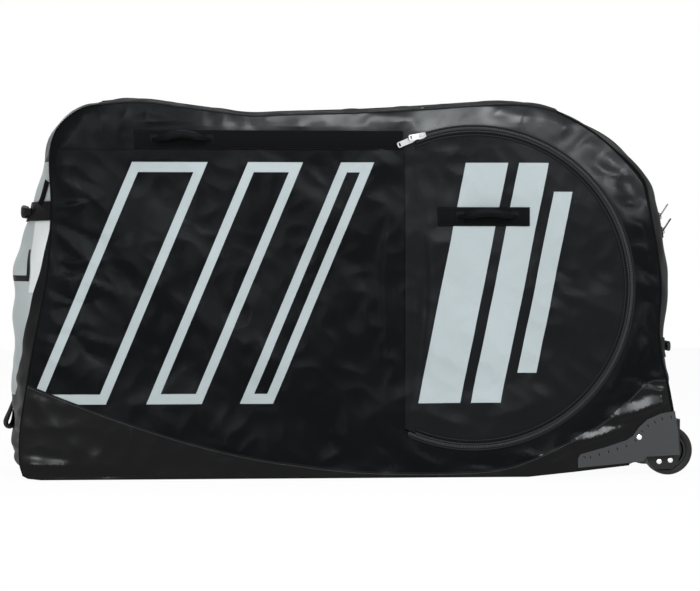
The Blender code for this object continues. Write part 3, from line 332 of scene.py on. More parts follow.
class Value:
    """The output of a new node, with its properties set and its inputs filled or linked."""

    def __init__(self, owner, kind, inputs=None, key=0, **settings):
        node = owner.node_tree.nodes.new(kind)
        for name, value in settings.items():
            setattr(node, name, value)
        for slot, value in (inputs or {}).items():
            if isinstance(value, Value):
                owner.node_tree.links.new(value.socket, node.inputs[slot])
            else:
                node.inputs[slot].default_value = value
        self.owner, self.node, self.socket = owner, node, node.outputs[key] if node.outputs else None

    def math(self, operation, *others):
        """One Math node's result."""
        return Value(self.owner, "ShaderNodeMath", dict(enumerate((self, *others))), operation=operation)

    def __add__(self, other):
        return self.math("ADD", other)

    def __sub__(self, other):
        return self.math("SUBTRACT", other)

    def __mul__(self, other):
        return self.math("MULTIPLY", other)

    def __lt__(self, other):
        return self.math("LESS_THAN", other)

    def __gt__(self, other):
        return self.math("GREATER_THAN", other)

    def __abs__(self):
        return self.math("ABSOLUTE")

    def ramp(self, start, stop):
        """0 up to a start, 1 from a stop."""
        return Value(self.owner, "ShaderNodeMapRange", {0: self, 1: start, 2: stop})

    def spread(self, low, high):
        """A share set out between two values."""
        return Value(self.owner, "ShaderNodeMapRange", {0: self, 3: low, 4: high})

    def mix(self, first, second):
        """Two colours mixed by a share."""
        return Value(self.owner, "ShaderNodeMix", {0: self, 6: first, 7: second}, 2, data_type="RGBA")

    def outputs(self, *keys):
        """Some outputs of the same node."""
        twins = [copy.copy(self) for _ in keys]
        for twin, key in zip(twins, keys):
            twin.socket = self.node.outputs[key]
        return twins

    def axes(self):
        """The x, y and z of a coordinate."""
        return Value(self.owner, "ShaderNodeSeparateXYZ", {0: self}).outputs("X", "Y", "Z")

    def noise(self, scale, detail):
        """Smooth noise about a coordinate."""
        return Value(self.owner, "ShaderNodeTexNoise", {"Vector": self, "Scale": scale, "Detail": detail})

    def bands(self, pitch, direction):
        """Waves a pitch apart along one axis of a coordinate."""
        inputs = {"Vector": self, "Scale": 2 * math.pi / pitch / 20}
        return Value(self.owner, "ShaderNodeTexWave", inputs, "Fac", bands_direction=direction)

    def bump(self, strength, distance, below=None):
        """A height as a bumped normal, on top of the one below."""
        inputs = {"Height": self, "Strength": strength, "Distance": distance}
        return Value(self.owner, "ShaderNodeBump", inputs | ({"Normal": below} if below else {}))


def new_material(name, roughness, **sockets):
    """A Principled material with some inputs set, and the object coordinates in metres."""
    material = bpy.data.materials.new(name)
    material.use_nodes = True
    shader = material.node_tree.nodes["Principled BSDF"]
    shader.inputs["Roughness"].default_value = roughness
    for key, value in sockets.items():
        shader.inputs[key.replace("_", " ")].default_value = value
    return material, Value(material, "ShaderNodeTexCoord", key="Object")


def feed(material, **sockets):
    """Link values to the inputs of a material's shader."""
    shader = material.node_tree.nodes["Principled BSDF"]
    for key, value in sockets.items():
        material.node_tree.links.new(value.socket, shader.inputs[key.replace("_", " ")])
    return material


# %% [markdown]
# ## Coated nylon
#
# The body cloth is a plain-weave polyester or nylon with a rubbery coating: nearly black, a soft sheen at
# grazing angles and a little glossier where it is pulled tight over the upper corner. The threads are
# 0.35 mm apart, too fine for the picture, so the weave is drawn at 1.2 mm. A scanned texture could give the
# fine crumpling, but ridged noise in the bump has no seams and fits any size. The large folds are real
# geometry.

# %% Cloth surface shared by the printed and plain cloth
WEAVE = 0.0012


def cloth_bump(at, crumple, weave_depth):
    """Crumpled-coating bump with a plain weave on top: the softer crumpling and the normal."""
    ridge = Value(at.owner, "ShaderNodeTexNoise", {"Vector": at, "Scale": 15.0, "Detail": 5.0,
                  "Roughness": 0.55, "Distortion": 0.6}, noise_type="RIDGED_MULTIFRACTAL")
    soft = at.noise(6.0, 4.0)
    threads = at.bands(WEAVE, "X") * at.bands(WEAVE, "Z")
    return soft, threads.bump(weave_depth, 0.0003, soft.bump(crumple, 0.012, ridge.bump(crumple, 0.004)))


def stretched(at, soft):
    """1 where the side is pulled tight over the upper corner and along the top, outside the pocket."""
    x, y, z = at.axes()
    flat = Value(at.owner, "ShaderNodeCombineXYZ", {0: x, 2: z})
    away = Value(at.owner, "ShaderNodeVectorMath", {0: flat, 1: (POCKET[0], 0, POCKET[1])}, "Value",
                 operation="DISTANCE")
    zone = z.ramp(0.690, 0.705).math("MAXIMUM", x.ramp(0.105, 0.125))
    for value, start, stop in ((away, 0.318, 0.332), (z, 0.50, 0.66), (x, -0.32, -0.20),
                               (abs(y), 0.115, 0.135), (soft, 0.25, 0.6)):
        zone = zone * value.ramp(start, stop)
    return zone


def coated_cloth(name, dark, light, bars=None, roughness=0.24, gleam=0.055, tight=0.45):
    """Black coated cloth, with a silver print of bars."""
    material, at = new_material(name, roughness, Sheen_Weight=0.004, Sheen_Roughness=0.4,
                                Specular_IOR_Level=gleam, Specular_Tint=(0.92, 0.97, 1.0, 1.0),
                                Coat_Roughness=0.3, Coat_Tint=(0.86, 0.94, 1.0, 1.0))
    soft, normal = cloth_bump(at, 0.14, 0.35)
    ground = soft.mix(paint(dark), paint(light))
    gloss = soft.spread(roughness - 0.08, roughness + 0.1)
    if bars:
        mask = bars_print(at, *bars)
        silver = at.noise(3.0, 5.0).mix(paint("#949b9c"), paint("#b0b8ba"))
        ground = (mask * (at.noise(900.0, 2.0) > 0.27)).mix(ground, silver)
        gloss = Value(material, "ShaderNodeMix", {0: mask, 2: gloss, 3: 0.5})
    return feed(material, Base_Color=ground, Roughness=gloss, Coat_Weight=stretched(at, soft) * tight,
                Normal=normal)


# %% [markdown]
# ## The silver print
#
# The big panels carry a plain graphic in silver ink, screen-printed flat before the bag was sewn. An image
# texture is the usual way. Here the design is generic, slanted bars in outline on the long field and solid
# ones on the pocket, so it is drawn with distances in x and z, and its edges stay sharp at any size.

# %% Slanted bars, in outline and solid
PRINT_Z = 0.391
BARS = ((-0.460, 0.150, PRINT_Z, 0.241), (-0.250, 0.110, PRINT_Z, 0.241), (-0.086, 0.066, PRINT_Z, 0.241))
PATCH_BARS = ((0.2275, 0.085, PRINT_Z, 0.241), (0.3220, 0.060, PRINT_Z, 0.241), (0.3930, 0.038, 0.392, 0.182))


def bars_print(at, bars, slant, line):
    """1 on slanted bars of centre x, width, centre z and half height; line is an outline's width or None."""
    x, _, z = at.axes()
    sheared = x - (z - PRINT_Z) * slant
    total = None
    for centre, width, middle, half in bars:
        reach = (abs(sheared - centre) - width / 2).math("MAXIMUM", abs(z - middle) - half)
        if line:
            reach = abs(reach + line / 2) - line / 2
        shape = reach < 0.0
        total = shape if total is None else total.math("MAXIMUM", shape)
    return total


nylon = coated_cloth("coated_nylon_plain", "#040505", "#0a0c0e")
nylon_end = coated_cloth("coated_nylon_end", "#040405", "#08090a", None, 0.55, 0.035, 0.0)
nylon_top = coated_cloth("coated_nylon_top", "#040405", "#090a0b", None, 0.55, 0.03, 0.0)
nylon_bars = coated_cloth("coated_nylon_outlined_bars", "#040505", "#0a0c0e", (BARS, 0.42, 0.020))
# The door cloth is the same nylon with a lighter ground. That lighter ground is painted light on the door;
# the solid bars on it are print.
nylon_patch_painted_lighter = coated_cloth("coated_nylon_solid_bars_painted_lighter", "#0e0f10", "#18191b", (PATCH_BARS, 0.20, None))
print("cloth materials", [m.name for m in (nylon, nylon_end, nylon_top, nylon_bars, nylon_patch_painted_lighter)])

# %% [markdown]
# ## Laying cloth
#
# Three ways of making a piece carry the whole bag. A cloth field is an outline cut into small square
# cells, then pushed out onto the side. A woven grid is laid over a curved face by a formula of two shares.
# A swept skin carries a small section along a path, for straps, piping and handles. Modelling by hand would
# do too, but a formula puts two pieces that meet on the same line to the last digit.

# %% Makers of cloth, grids and swept skins
def finish_piece(name, mesh, material, body, stands_for=(), facing=None, wall=0.0, sharp=None):
    """Make a bmesh a piece: normals out, shading, material, the body it moves with, what it stands for."""
    bmesh.ops.remove_doubles(mesh, verts=mesh.verts, dist=0.00001)
    bmesh.ops.recalc_face_normals(mesh, faces=mesh.faces)
    if facing is not None and sum(face.normal.dot(facing) * face.calc_area() for face in mesh.faces) < 0:
        bmesh.ops.reverse_faces(mesh, faces=mesh.faces)
    data = bpy.data.meshes.new(name)
    mesh.edges.index_update()
    mesh.to_mesh(data)
    rims = [edge.index for edge in mesh.edges if edge.is_boundary]
    mesh.free()
    data.materials.append(material)
    data.shade_smooth()
    if sharp:
        data.set_sharp_from_angle(angle=math.radians(sharp))
    for index in rims:
        data.edges[index].use_edge_sharp = True
    thing = bpy.data.objects.new(name, data)
    bpy.context.collection.objects.link(thing)
    if wall:
        shell = thing.modifiers.new("Thickness", "SOLIDIFY")
        shell.thickness = wall
        shell.offset = -1
    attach(thing, body)
    if stands_for:
        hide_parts(*stands_for)
    return thing


def cloth_field(outline, holes=(), cell=0.008):
    """A flat net of square cells in x and z, trimmed to an outline and its holes."""
    mesh = bmesh.new()
    edges = []
    for loop in (outline, *holes):
        ring = [mesh.verts.new((x, 0, z)) for x, z in loop]
        edges += [mesh.edges.new(pair) for pair in zip(ring, ring[1:] + ring[:1])]
    bmesh.ops.triangle_fill(mesh, edges=edges, use_beauty=True, normal=(0, -1, 0))
    low = np.min(outline, axis=0)
    high = np.max(outline, axis=0)
    for way, start, end in ((Vector((1, 0, 0)), low[0], high[0]), (Vector((0, 0, 1)), low[1], high[1])):
        for place in np.arange(start + cell * 0.6, end, cell):
            bmesh.ops.bisect_plane(mesh, geom=mesh.verts[:] + mesh.edges[:] + mesh.faces[:],
                                   plane_co=way * float(place), plane_no=way, dist=0.00001)
    slanted = []
    for edge in mesh.edges:
        run = edge.verts[1].co - edge.verts[0].co
        if len(edge.link_faces) == 2 and min(abs(run.x), abs(run.z)) > 0.00002:
            slanted.append(edge)
    bmesh.ops.dissolve_edges(mesh, edges=slanted, use_verts=False)
    bmesh.ops.subdivide_edges(mesh, edges=mesh.edges[:], cuts=1, use_grid_fill=True)
    return mesh


def lay_on_side(mesh, side, lift=0.0, folds=None):
    """Move a flat net out onto the side cloth."""
    flat = np.array([vert.co[:] for vert in mesh.verts])
    y = FACE + lift + swell(side, flat[:, 0], flat[:, 2])
    if folds is not None:
        y = y + folds(flat[:, 0], flat[:, 2])
    for vert, value in zip(mesh.verts, side * y):
        vert.co.y = value
    return mesh


def woven(rows, columns, place):
    """A grid of rows by columns cells, laid out by place(u, v) with both shares from 0 to 1."""
    mesh = bmesh.new()
    bmesh.ops.create_grid(mesh, x_segments=rows, y_segments=columns, size=0.5)
    spots = np.array([vert.co[:2] for vert in mesh.verts]) + 0.5
    for vert, point in zip(mesh.verts, place(spots[:, 0], spots[:, 1])):
        vert.co = point
    return mesh


def swept(path, outward, section):
    """A closed skin that carries a section of (outward, aside) points along a path."""
    path = np.asarray(path, float)
    ways = np.gradient(path, axis=0)
    if np.allclose(path[0], path[-1]):
        ways[0] = ways[-1] = path[1] - path[-2]
    ways /= np.linalg.norm(ways, axis=1)[:, None]
    out = np.broadcast_to(np.asarray(outward, float), path.shape)
    out = out - (out * ways).sum(axis=1)[:, None] * ways
    out /= np.linalg.norm(out, axis=1)[:, None]
    aside = np.cross(ways, out)
    section = np.asarray(section, float)
    if section.ndim == 2:
        section = np.broadcast_to(section, (len(path), *section.shape))
    count = section.shape[1]

    def place(u, v):
        i = np.rint(u * (len(path) - 1)).astype(int)
        j = np.rint(v * count).astype(int) % count
        cut = section[i, j]
        return path[i] + out[i] * cut[:, :1] + aside[i] * cut[:, 1:]

    mesh = woven(len(path) - 1, count, place)
    bmesh.ops.remove_doubles(mesh, verts=mesh.verts, dist=0.000001)
    rims = [edge for edge in mesh.edges if edge.is_boundary]
    if rims:
        bmesh.ops.holes_fill(mesh, edges=rims, sides=0)
    return mesh


def oval(half_out, half_aside, count=12):
    """A section of an oval."""
    turn = np.arange(count) * 2 * math.pi / count
    return np.stack([half_out * np.cos(turn), half_aside * np.sin(turn)], axis=1)


def strap(wall, width, low=0.0):
    """A flat section with eased edges, standing on the path."""
    ease = wall * 0.3
    half = width / 2
    return np.array([(low, -half + ease), (low + ease, -half), (low + wall - ease, -half),
                     (low + wall, -half + ease), (low + wall, 0), (low + wall, half - ease),
                     (low + wall - ease, half), (low + ease, half), (low, half - ease), (low, 0)])


def add_bits(mesh, points, outward, size, pitch, slip=0.5):
    """Small blocks at one pitch along a line: stitches or zip teeth, size along, aside and out."""
    points = np.asarray(points, float)
    length = np.linalg.norm(np.diff(points, axis=0), axis=1).sum()
    count = max(int(length / pitch), 1)
    path = evenly(points, 2 * count + 1)
    for k in range(count):
        middle = Vector(path[2 * k + 1])
        way = (Vector(path[2 * k + 2]) - Vector(path[2 * k])).normalized()
        out = Vector(outward)
        out = (out - out.dot(way) * way).normalized()
        frame_of = Matrix((way, out.cross(way), out)).transposed().to_4x4()
        shape = Matrix.Diagonal((size[0], size[1], size[2], 1))
        place = Matrix.Translation(middle + way * (slip - 0.5) * pitch)
        bmesh.ops.create_cube(mesh, size=1.0, matrix=place @ frame_of @ shape)
    return mesh


def joined(*meshes):
    """Several bmeshes as one."""
    base = meshes[0]
    for other in meshes[1:]:
        data = bpy.data.meshes.new("joined")
        other.to_mesh(data)
        other.free()
        base.from_mesh(data)
        bpy.data.meshes.remove(data)
    return base


# %% [markdown]
# ## The rest of the finishes
#
# Tarpaulin is PVC coated and shines where it bends. Webbing is a tight weave with a rib every 2 mm. Zip
# parts are plated zinc, the corner guards a grained moulded plastic, and the end panel a silver cloth.
# Two recipes with different numbers are enough for all but the last, which has its fields drawn in y and z.

# %% Finishes
def ribbed(name, colour, along, pitch, roughness=0.72, depth=0.6):
    """Webbing or zip tape: ribs across the strap and finer threads along it."""
    material, at = new_material(name, roughness, Sheen_Weight=0.004, Sheen_Roughness=0.5,
                                Specular_IOR_Level=0.05, Base_Color=paint(colour))
    threads = at.bands(pitch * 2, "Z" if along != "Z" else "Y")
    return feed(material, Normal=(threads * 0.6 + at.bands(pitch, along)).bump(depth, 0.0005))


def grained(name, colour, roughness, grain, depth, **sockets):
    """A plain finish with a fine grain in its bump and a slight drift in its gloss."""
    material, at = new_material(name, roughness, Base_Color=paint(colour), **sockets)
    return feed(material, Roughness=at.noise(12.0, 2.0).spread(roughness * 0.85, roughness * 1.15),
                Normal=at.noise(grain, 3.0).bump(depth, 0.0004))


def silver_cloth():
    """The light end panel: silver coated cloth, white fields beside it, dark slits and a dark foot."""
    material, at = new_material("silver_coated_cloth", 0.45, Specular_IOR_Level=0.06)
    soft, normal = cloth_bump(at, 0.4, 0.3)
    _, y, z = at.axes()
    out = abs(y)
    beside = out - (z * -0.12 + 0.150)
    narrow = (z * 0.163 + 0.0574).math("MINIMUM", z * 0.43 - 0.0055)
    field = (abs(z - 0.443) < 0.071) * (beside > 0.0)
    slits = (abs(beside + 0.008) < 0.005) * (abs(z - 0.432) < 0.026)
    bar = (abs(z - 0.400) < 0.006) * (beside < -0.003)
    border = (out > narrow) * (z < 0.517)
    dark = slits
    for mark in (bar, border, z > 0.632, z < 0.165):
        dark = dark.math("MAXIMUM", mark)
    tone = field.mix(soft.mix(paint("#a5abaa"), paint("#ccd3d3")), paint("#e4e6e5"))
    return feed(material, Base_Color=dark.mix(tone, paint("#08090a")), Normal=normal)


silver = silver_cloth()
tarpaulin = grained("glossy_tarpaulin", "#050506", 0.25, 25.0, 0.2, Specular_IOR_Level=0.15)
webbing_x = ribbed("webbing_ribs_along_x", "#0a0a0b", "X", 0.0022)
webbing_y = ribbed("webbing_ribs_along_y", "#0a0a0b", "Y", 0.0022)
handle_cloth = ribbed("padded_handle_cloth", "#090a0b", "X", 0.003, 0.5, 0.35)
zip_tape = ribbed("zip_tape_weave", "#0d0e0f", "Z", 0.0014, 0.65, 0.5)
zip_lip = ribbed("grey_zip_lip", "#1f2123", "Z", 0.0014, 0.42, 0.3)
coil = grained("nylon_zip_coil", "#34373a", 0.34, 300.0, 0.1, Specular_IOR_Level=0.3)
zinc = grained("plated_zinc", "#cfcfd2", 0.2, 200.0, 0.08, Metallic=1.0)
dull_metal = grained("dull_grey_metal", "#77797c", 0.35, 200.0, 0.08, Metallic=1.0)
moulded = grained("grained_charcoal_plastic", "#2c2e30", 0.42, 1400.0, 0.35, Specular_IOR_Level=0.4)
dark_plastic = grained("black_plastic", "#101011", 0.4, 900.0, 0.25, Specular_IOR_Level=0.3)
rubber = grained("matt_black_rubber", "#121111", 0.62, 500.0, 0.3, Specular_IOR_Level=0.25)
thread = grained("pale_thread", "#56585a", 0.6, 900.0, 0.2, Specular_IOR_Level=0.1)
dark_thread = grained("dark_thread", "#1d1e20", 0.6, 900.0, 0.2, Specular_IOR_Level=0.1)
lining = grained("dark_lining", "#2b2c2e", 0.85, 700.0, 0.5)
steel = grained("bright_steel", "#f0f0f0", 0.28, 200.0, 0.08, Metallic=1.0)

# %% [markdown]
# ## The two big sides
#
# A side is one soft padded panel about 1.3 m long and 0.7 m high, sewn into the piped seam all round. It
# holds the D-shaped pocket opening. A plain grid would leave steps along the round opening, so the outline
# and the opening are cut into 4 mm cells, and every point takes its distance from the fold formula.

# %% Side cloth
FLAP_X0 = float(front_seam[-1, 0])
FLAP_X1 = float(rear_seam[-1, 0])


def d_line(radius, seam_x, count=150):
    """The pocket's outline: a circle cut off by an upright seam on its left."""
    sweep = math.acos((seam_x - POCKET[0]) / radius)
    turn = np.linspace(-sweep, sweep, count)
    return [tuple(POCKET + radius * np.array((math.cos(a), math.sin(a)))) for a in turn]


foot_line = [(x, z + 0.0029) for x, z in UNDERSIDE]
side_outline = [tuple(row[:2]) for row in front_seam[::3]] + [(FLAP_X0, HINGE_Z), (FLAP_X1, HINGE_Z)]
side_outline += [tuple(row[:2]) for row in rear_seam[::-3]] + WHEEL_END[::-1] + foot_line[:0:-1]
CELL = 0.008
CUT = 0.0012            # from the zip's circle to the cloth on each side of it
for label, side in SIDES:
    net = cloth_field(side_outline, (d_line(ZIP_RADIUS + CUT, SEAM_X),), CELL)
    cloth = finish_piece("side_cloth_" + label, lay_on_side(net, side), nylon_bars, "bag",
                         ("side_panel_" + label,), (0, side, 0), wall=CLOTH)
    print(cloth.name, len(cloth.data.polygons), "cells")

# %% [markdown]
# ## The pocket doors
#
# Each side has a round door cut straight along one edge, which hangs on an upright seam and closes with
# the long curved zip. The cloth is a little fuller than the hole it closes, so it domes in the middle. It
# takes the same formula as the side, with folds of its own, so that both meet at one height when it is shut.

# %% Door cloth and its lining
for label, side in SIDES:
    net = cloth_field(d_line(ZIP_RADIUS - CUT, SEAM_X + CUT / 2), (), CELL)
    # the door takes the nylon with a ground painted lighter, as painted light on the door
    door = finish_piece("door_cloth_" + label, lay_on_side(net, side), nylon_patch_painted_lighter, "door_" + label,
                        ("pocket_door_" + label,), (0, side, 0), wall=CLOTH)

    def dish(u, v):
        """The pocket sleeve: a shallow D-shaped tray behind the door."""
        rim = np.array(d_line(ZIP_RADIUS + 0.008, SEAM_X - 0.002, 120))
        rim = np.vstack([rim, rim[:1]])
        at = evenly(rim, 181)[np.rint(u * 180).astype(int)]
        inward = np.clip((v - 0.3) / 0.7, 0, 1)[:, None]
        flat = at + (POCKET + np.array((0.03, 0)) - at) * inward
        depth = np.clip(v / 0.3, 0, 1) * 0.045
        return np.stack([flat[:, 0], side * (FACE - 0.0088 - depth), flat[:, 1]], axis=1)

    tray = finish_piece("pocket_lining_" + label, woven(180, 16, dish), lining, "bag",
                        ("wheel_pocket_" + label,), (0, side, 0), wall=0.002)

# %% [markdown]
# ## The ends and the top
#
# The ends bulge out between the side seams like a filled sack, most of all at the front, and sag into
# folds near the foot. The top is two flaps that meet at the long zip and carry a strip of the side, hinged
# on that strip's lower edge. Each is one woven grid, because its edges are the seam rows themselves.

# %% End cloth and flap cloth
def on_end(seam, facing, u, y, lift=0.0):
    """Points of an end panel's face from a share along the seam and y."""
    x, z, bulge, lean = row_at(seam, u, 4)
    lean = np.radians(lean)
    full = np.clip(1 - (y / PANEL_HALF) ** 2, 0, 1)
    edge = np.clip((BAND_HALF - np.abs(y)) / 0.03, 0, 1) * np.clip(np.minimum(u, 1 - u) / 0.05, 0, 1)
    foot = np.clip(1 - z / 0.30, 0, 1)
    folds = 0.0022 * ripples(y, z, 0.11, 5) + 0.0045 * foot * ripples(y, z * 2.2, 0.075, 9)
    folds = np.where(facing < 0, folds, folds * 0.8) * edge
    reach = bulge * full + np.clip(folds, -0.006, 0.007) + lift
    return np.stack([x + facing * np.cos(lean) * reach, y, z + np.sin(lean) * reach], axis=1)


def seam_y(seam, u):
    """Half the bag's width at an end seam: the sides roll in there, but not by the floor or the guard."""
    return FACE - 0.0008 - roll_in(*row_at(seam, u, 2))


def share_at(seam, z):
    """The share along an end seam at one height."""
    return float(np.interp(z, seam[:, 1], np.linspace(0, 1, len(seam))))


for name, seam, facing, material, slot, rows in (
        ("front_end_cloth", front_seam, -1, silver, "end_panel", 220),
        ("rear_end_cloth", rear_seam, 1, nylon_end, "coated_nylon", 200)):
    net = woven(rows, 72, lambda u, v: on_end(seam, facing, u, (2 * v - 1) * seam_y(seam, u)))
    cloth = finish_piece(name, net, material, "bag", (name.replace("cloth", "panel"),),
                         (facing, 0, 0), wall=CLOTH)


def top_line(u):
    """The top seam's x and z, and half the bag's width there, at a share along it."""
    x, z = row_at(top_seam, u, 2)
    return x, z, FACE - roll_in(x, z)


def on_top(side, u, y):
    """Points of the crowned top from a share along the top seam and y."""
    x, z, _ = top_line(u)
    calm = np.clip((y - 0.022) / 0.03, 0, 1) * np.clip((FACE - y) / 0.02, 0, 1)
    soft = np.clip(0.0026 * ripples(x, y, 0.10, 31 + side), -0.004, 0.004) * calm
    return np.stack([x, side * y, z + 0.014 * (1 - (y / FACE) ** 2) + soft], axis=1)


for label, side in SIDES:
    def flap_place(u, v):
        """The strip of side below v 0.2, and the crowned top above it."""
        x, seam_z, half = top_line(u)
        low = np.clip(v / 0.2, 0, 1)
        z = HINGE_Z - 0.0002 + (seam_z - HINGE_Z + 0.0002) * low
        strip = np.stack([x, side * (FACE + swell(side, x, z)), z], axis=1)
        y = half - (half - 0.0004) * np.clip((v - 0.2) / 0.8, 0, 1)
        return np.where((v <= 0.2001)[:, None], strip, on_top(side, u, y))

    cloth = finish_piece("top_flap_cloth_" + label, woven(240, 50, flap_place), nylon, "flap_" + label,
                         ("top_flap_" + label,), (0, 0, 1), wall=CLOTH, sharp=60)
    cloth.data.materials.append(nylon_top)
    for face in cloth.data.polygons:
        face.material_index = int(abs(face.normal.z) > 0.6)

pad = bmesh.new()
pad_size = Matrix.Diagonal((0.950, 0.258, 0.0115, 1))
bmesh.ops.create_cube(pad, size=1.0, matrix=Matrix.Translation((-0.132, 0, 0.0145)) @ pad_size)
bmesh.ops.bevel(pad, geom=pad.edges[:], offset=0.004, segments=3, profile=0.5, affect="EDGES", material=-1)
finish_piece("floor_cushion", pad, lining, "bag", ("floor_pad",), sharp=40)
print("ends, flaps and floor pad made")

# %% [markdown]
# ## Piping along the seams
#
# A thin cord sewn into the seam keeps the edge crisp while the cloth beside it sags. A beveled curve would
# do, but it would need joining and trimming, so it is one skin swept along each end seam, and one along
# each top edge that moves with its flap.

# %% Piping
CORD = oval(0.0022, 0.0022, 10)
for label, side in SIDES:
    for end, seam in (("front", front_seam), ("rear", rear_seam)):
        spread_y = side * (seam_y(seam, np.linspace(0, 1, len(seam))) + 0.0004)
        line = np.stack([seam[:, 0], spread_y, seam[:, 1]], axis=1)[::2]
        cord = swept(line, (0, side, 0), CORD)
        finish_piece(f"piping_{end}_{label}", cord, webbing_x, "bag")
    x, z, half = top_line(np.linspace(0, 1, len(top_seam)))
    line = np.stack([x, side * half, z + 0.0008], axis=1)
    cord = swept(evenly(line, 200), (0, side, 0), CORD)
    finish_piece("piping_top_" + label, cord, zip_lip, "flap_" + label)

# %% [markdown]
# ## Tarpaulin skirts
#
# A band of glossy coated tarpaulin wraps the foot of each side, high at both ends where the bag rubs. Its
# upper seam is stitched in pale thread. The film is stiffer than the nylon, so its folds are broad and
# bright. It is a thin layer of its own on the side's formula, so both fold together.

# %% Skirts and their seams
TARP_CREASES = (
    (-620, 112, -530, 104, 12, 1.6), (-441, 122, -440, 52, 8, 2.6), (-385, 86, -400, 60, 9, 1.6),
    (-350, 76, -310, 58, 11, 1.6), (-300, 44, -200, 36, 13, 1.6), (600, 178, 655, 174, 8, 3.0),
    (380, 20, 450, 46, 12, 3.0), (300, 18, 420, 30, 10, 2.5),
)
STITCH_PITCH = 0.0048


def tarp_folds(x, z):
    """Broad bright folds of the stiff film, calm at its seam and under the guard."""
    calm = np.clip(under_skirt(x, z, 0.010), 0.25, 1) * edge_fade(x, z, 0.008)
    soft = 0.0004 * ripples(x, z, 0.05, 41)
    folds = (crease_height(x, z, TARP_CREASES) + soft) * calm * guard_fade(x, z, 0.010)
    return np.clip(folds, -0.0008, 0.012)


for label, side in SIDES:
    outline = [tuple(p) for p in skirt_seam] + WHEEL_END[::-1] + foot_line[:0:-1]
    outline += [tuple(p) for p in front_seam[0:25:6, :2]]
    net = lay_on_side(cloth_field(outline, (), CELL * 0.75), side, 0.0016, tarp_folds)
    finish_piece("skirt_film_" + label, net, tarpaulin, "bag", ("skirt_" + label,),
                 (0, side, 0), wall=0.001)
    row = evenly(skirt_seam - (0, 0.0050), 300)
    line = on_side(side, row, 0.0018 + tarp_folds(row[:, 0], row[:, 1]))
    stitches = add_bits(bmesh.new(), line, (0, side, 0), (0.0036, 0.0006, 0.0006), STITCH_PITCH)
    finish_piece("skirt_stitches_" + label, stitches, thread, "bag")
print("skirts made")

# %% [markdown]
# ## Webbing, patches and handles
#
# Straps of 38 mm webbing carry the load. One lies along the top of each side, a patch crosses the pocket
# door and a band crosses each end. A strap could be a flat ribbon, but its eased edges catch the light, so
# it is a swept section that lies on the cloth's formula.

# %% Straps on the sides
STITCH = (0.0032, 0.0006, 0.0005)
STITCH_LIFT = 0.0027
ROW = 0.0165            # from the middle of a strap to a row of stitches
INSET = 0.004           # from the end of a strap to a row of stitches
for label, side in SIDES:
    for name, (x0, x1, z), body in (("side", STRIP, "bag"), ("door", PATCH, "door_" + label)):
        line = on_side(side, [(x, z) for x in np.linspace(x0, x1, 90)], 0.0006)
        finish_piece(f"{name}_strap_{label}", swept(line, (0, side, 0), strap(0.0019, STRAP_WIDTH)),
                     webbing_x, body, (f"{name}_webbing_{label}",), sharp=50)
        low, high, left, right = z - ROW, z + ROW, x0 + INSET, x1 - INSET
        rows = bmesh.new()
        for run in (*[[(x, height) for x in np.linspace(left, right, 40)] for height in (low, high)],
                    *[[(x, low), (x, high)] for x in (left, right)]):
            add_bits(rows, on_side(side, run, STITCH_LIFT), (0, side, 0), STITCH, STITCH_PITCH)
        finish_piece(f"{name}_strap_stitches_{label}", rows, dark_thread, body)
    tuck = on_side(side, [(x, 0.657) for x in np.linspace(-0.578, STRIP[0] - 0.002, 50)], 0.0004)
    finish_piece("strip_tuck_" + label, swept(tuck, (0, side, 0), oval(0.0006, 0.0008, 8)), nylon, "bag")

# %% [markdown]
# ## Handles
#
# Every strap has a soft grip sewn onto it at both ends, which stands off it by a finger's width. The grip
# swings about its sewn ends, and those stay flat on the strap, so they are pieces of their own on the
# strap's body.

# %% Grips, their sewn ends and the end bands
HANDLE_RISE = ((0.0, 0.0, 0.0), (0.06, 0.34, 0.15), (0.14, 0.72, 0.45), (0.24, 0.93, 0.95), (0.36, 1.0, 1.0),
               (0.50, 1.0, 1.0), (0.64, 1.0, 1.0), (0.76, 0.93, 0.95), (0.86, 0.72, 0.45), (0.94, 0.34, 0.15),
               (1.0, 0.0, 0.0))
GRIP_SPAN = 0.116
GRIP_Y = 0.1567         # of a side grip's path at its ends
TAB_HALF = 0.008        # half the length of a sewn end


def handle(name, centre, along, outward, span, bow, grip, stands_for, arch=0.0):
    """A padded grip that rises off its strap and returns."""
    rows = curve_through(HANDLE_RISE, 6)
    along, outward = np.array(along, float), np.array(outward, float)
    path = np.array(centre) + along * ((rows[:, :1] - 0.5) * span) + outward * (bow * rows[:, 1:2])
    path[:, 2] += arch * (np.sin(math.pi * rows[:, 0]) ** 2)
    full = np.clip(rows[:, 2:], 0, 1)
    thick = 0.0016 + (grip[0] - 0.0016) * full
    wide = grip[1] * (0.45 + 0.55 * full)
    turn = np.arange(20) * 2 * math.pi / 20
    square = [np.sign(wave) * np.abs(wave) ** 0.7 for wave in (np.cos(turn), np.sin(turn))]
    sections = np.stack([thick * square[0], wide * square[1]], axis=2)
    grip_skin = swept(path, outward, sections)
    piece = finish_piece(name, grip_skin, handle_cloth, stands_for, (stands_for,))


def sewn_ends(name, lay, span, width, outward, body):
    """The two flat ends that are sewn to the strap, so that the grip can swing without them."""
    runs = [np.linspace(end * span / 2 - TAB_HALF, end * span / 2 + TAB_HALF, 8) for end in (-1, 1)]
    tabs = joined(*[swept(lay(run), outward, strap(0.0014, width)) for run in runs])
    finish_piece(name, tabs, handle_cloth, body, sharp=50)


for label, side in SIDES:
    for name, x, z, body, arch in (("side", -0.335, STRIP[2], "bag", 0.010),
                                   ("door", 0.276, PATCH[2], "door_" + label, 0.008)):
        sewn_ends(f"{name}_ends_{label}",
                  lambda along: on_side(side, [(x + step, z) for step in along], 0.0026),
                  GRIP_SPAN - 0.006, 0.022, (0, side, 0), body)
        handle(f"{name}_grip_{label}", (x, side * GRIP_Y, z), (1, 0, 0), (0, side, 0), GRIP_SPAN, 0.020,
               (0.0060, 0.0078), f"{name}_handle_{label}", arch)

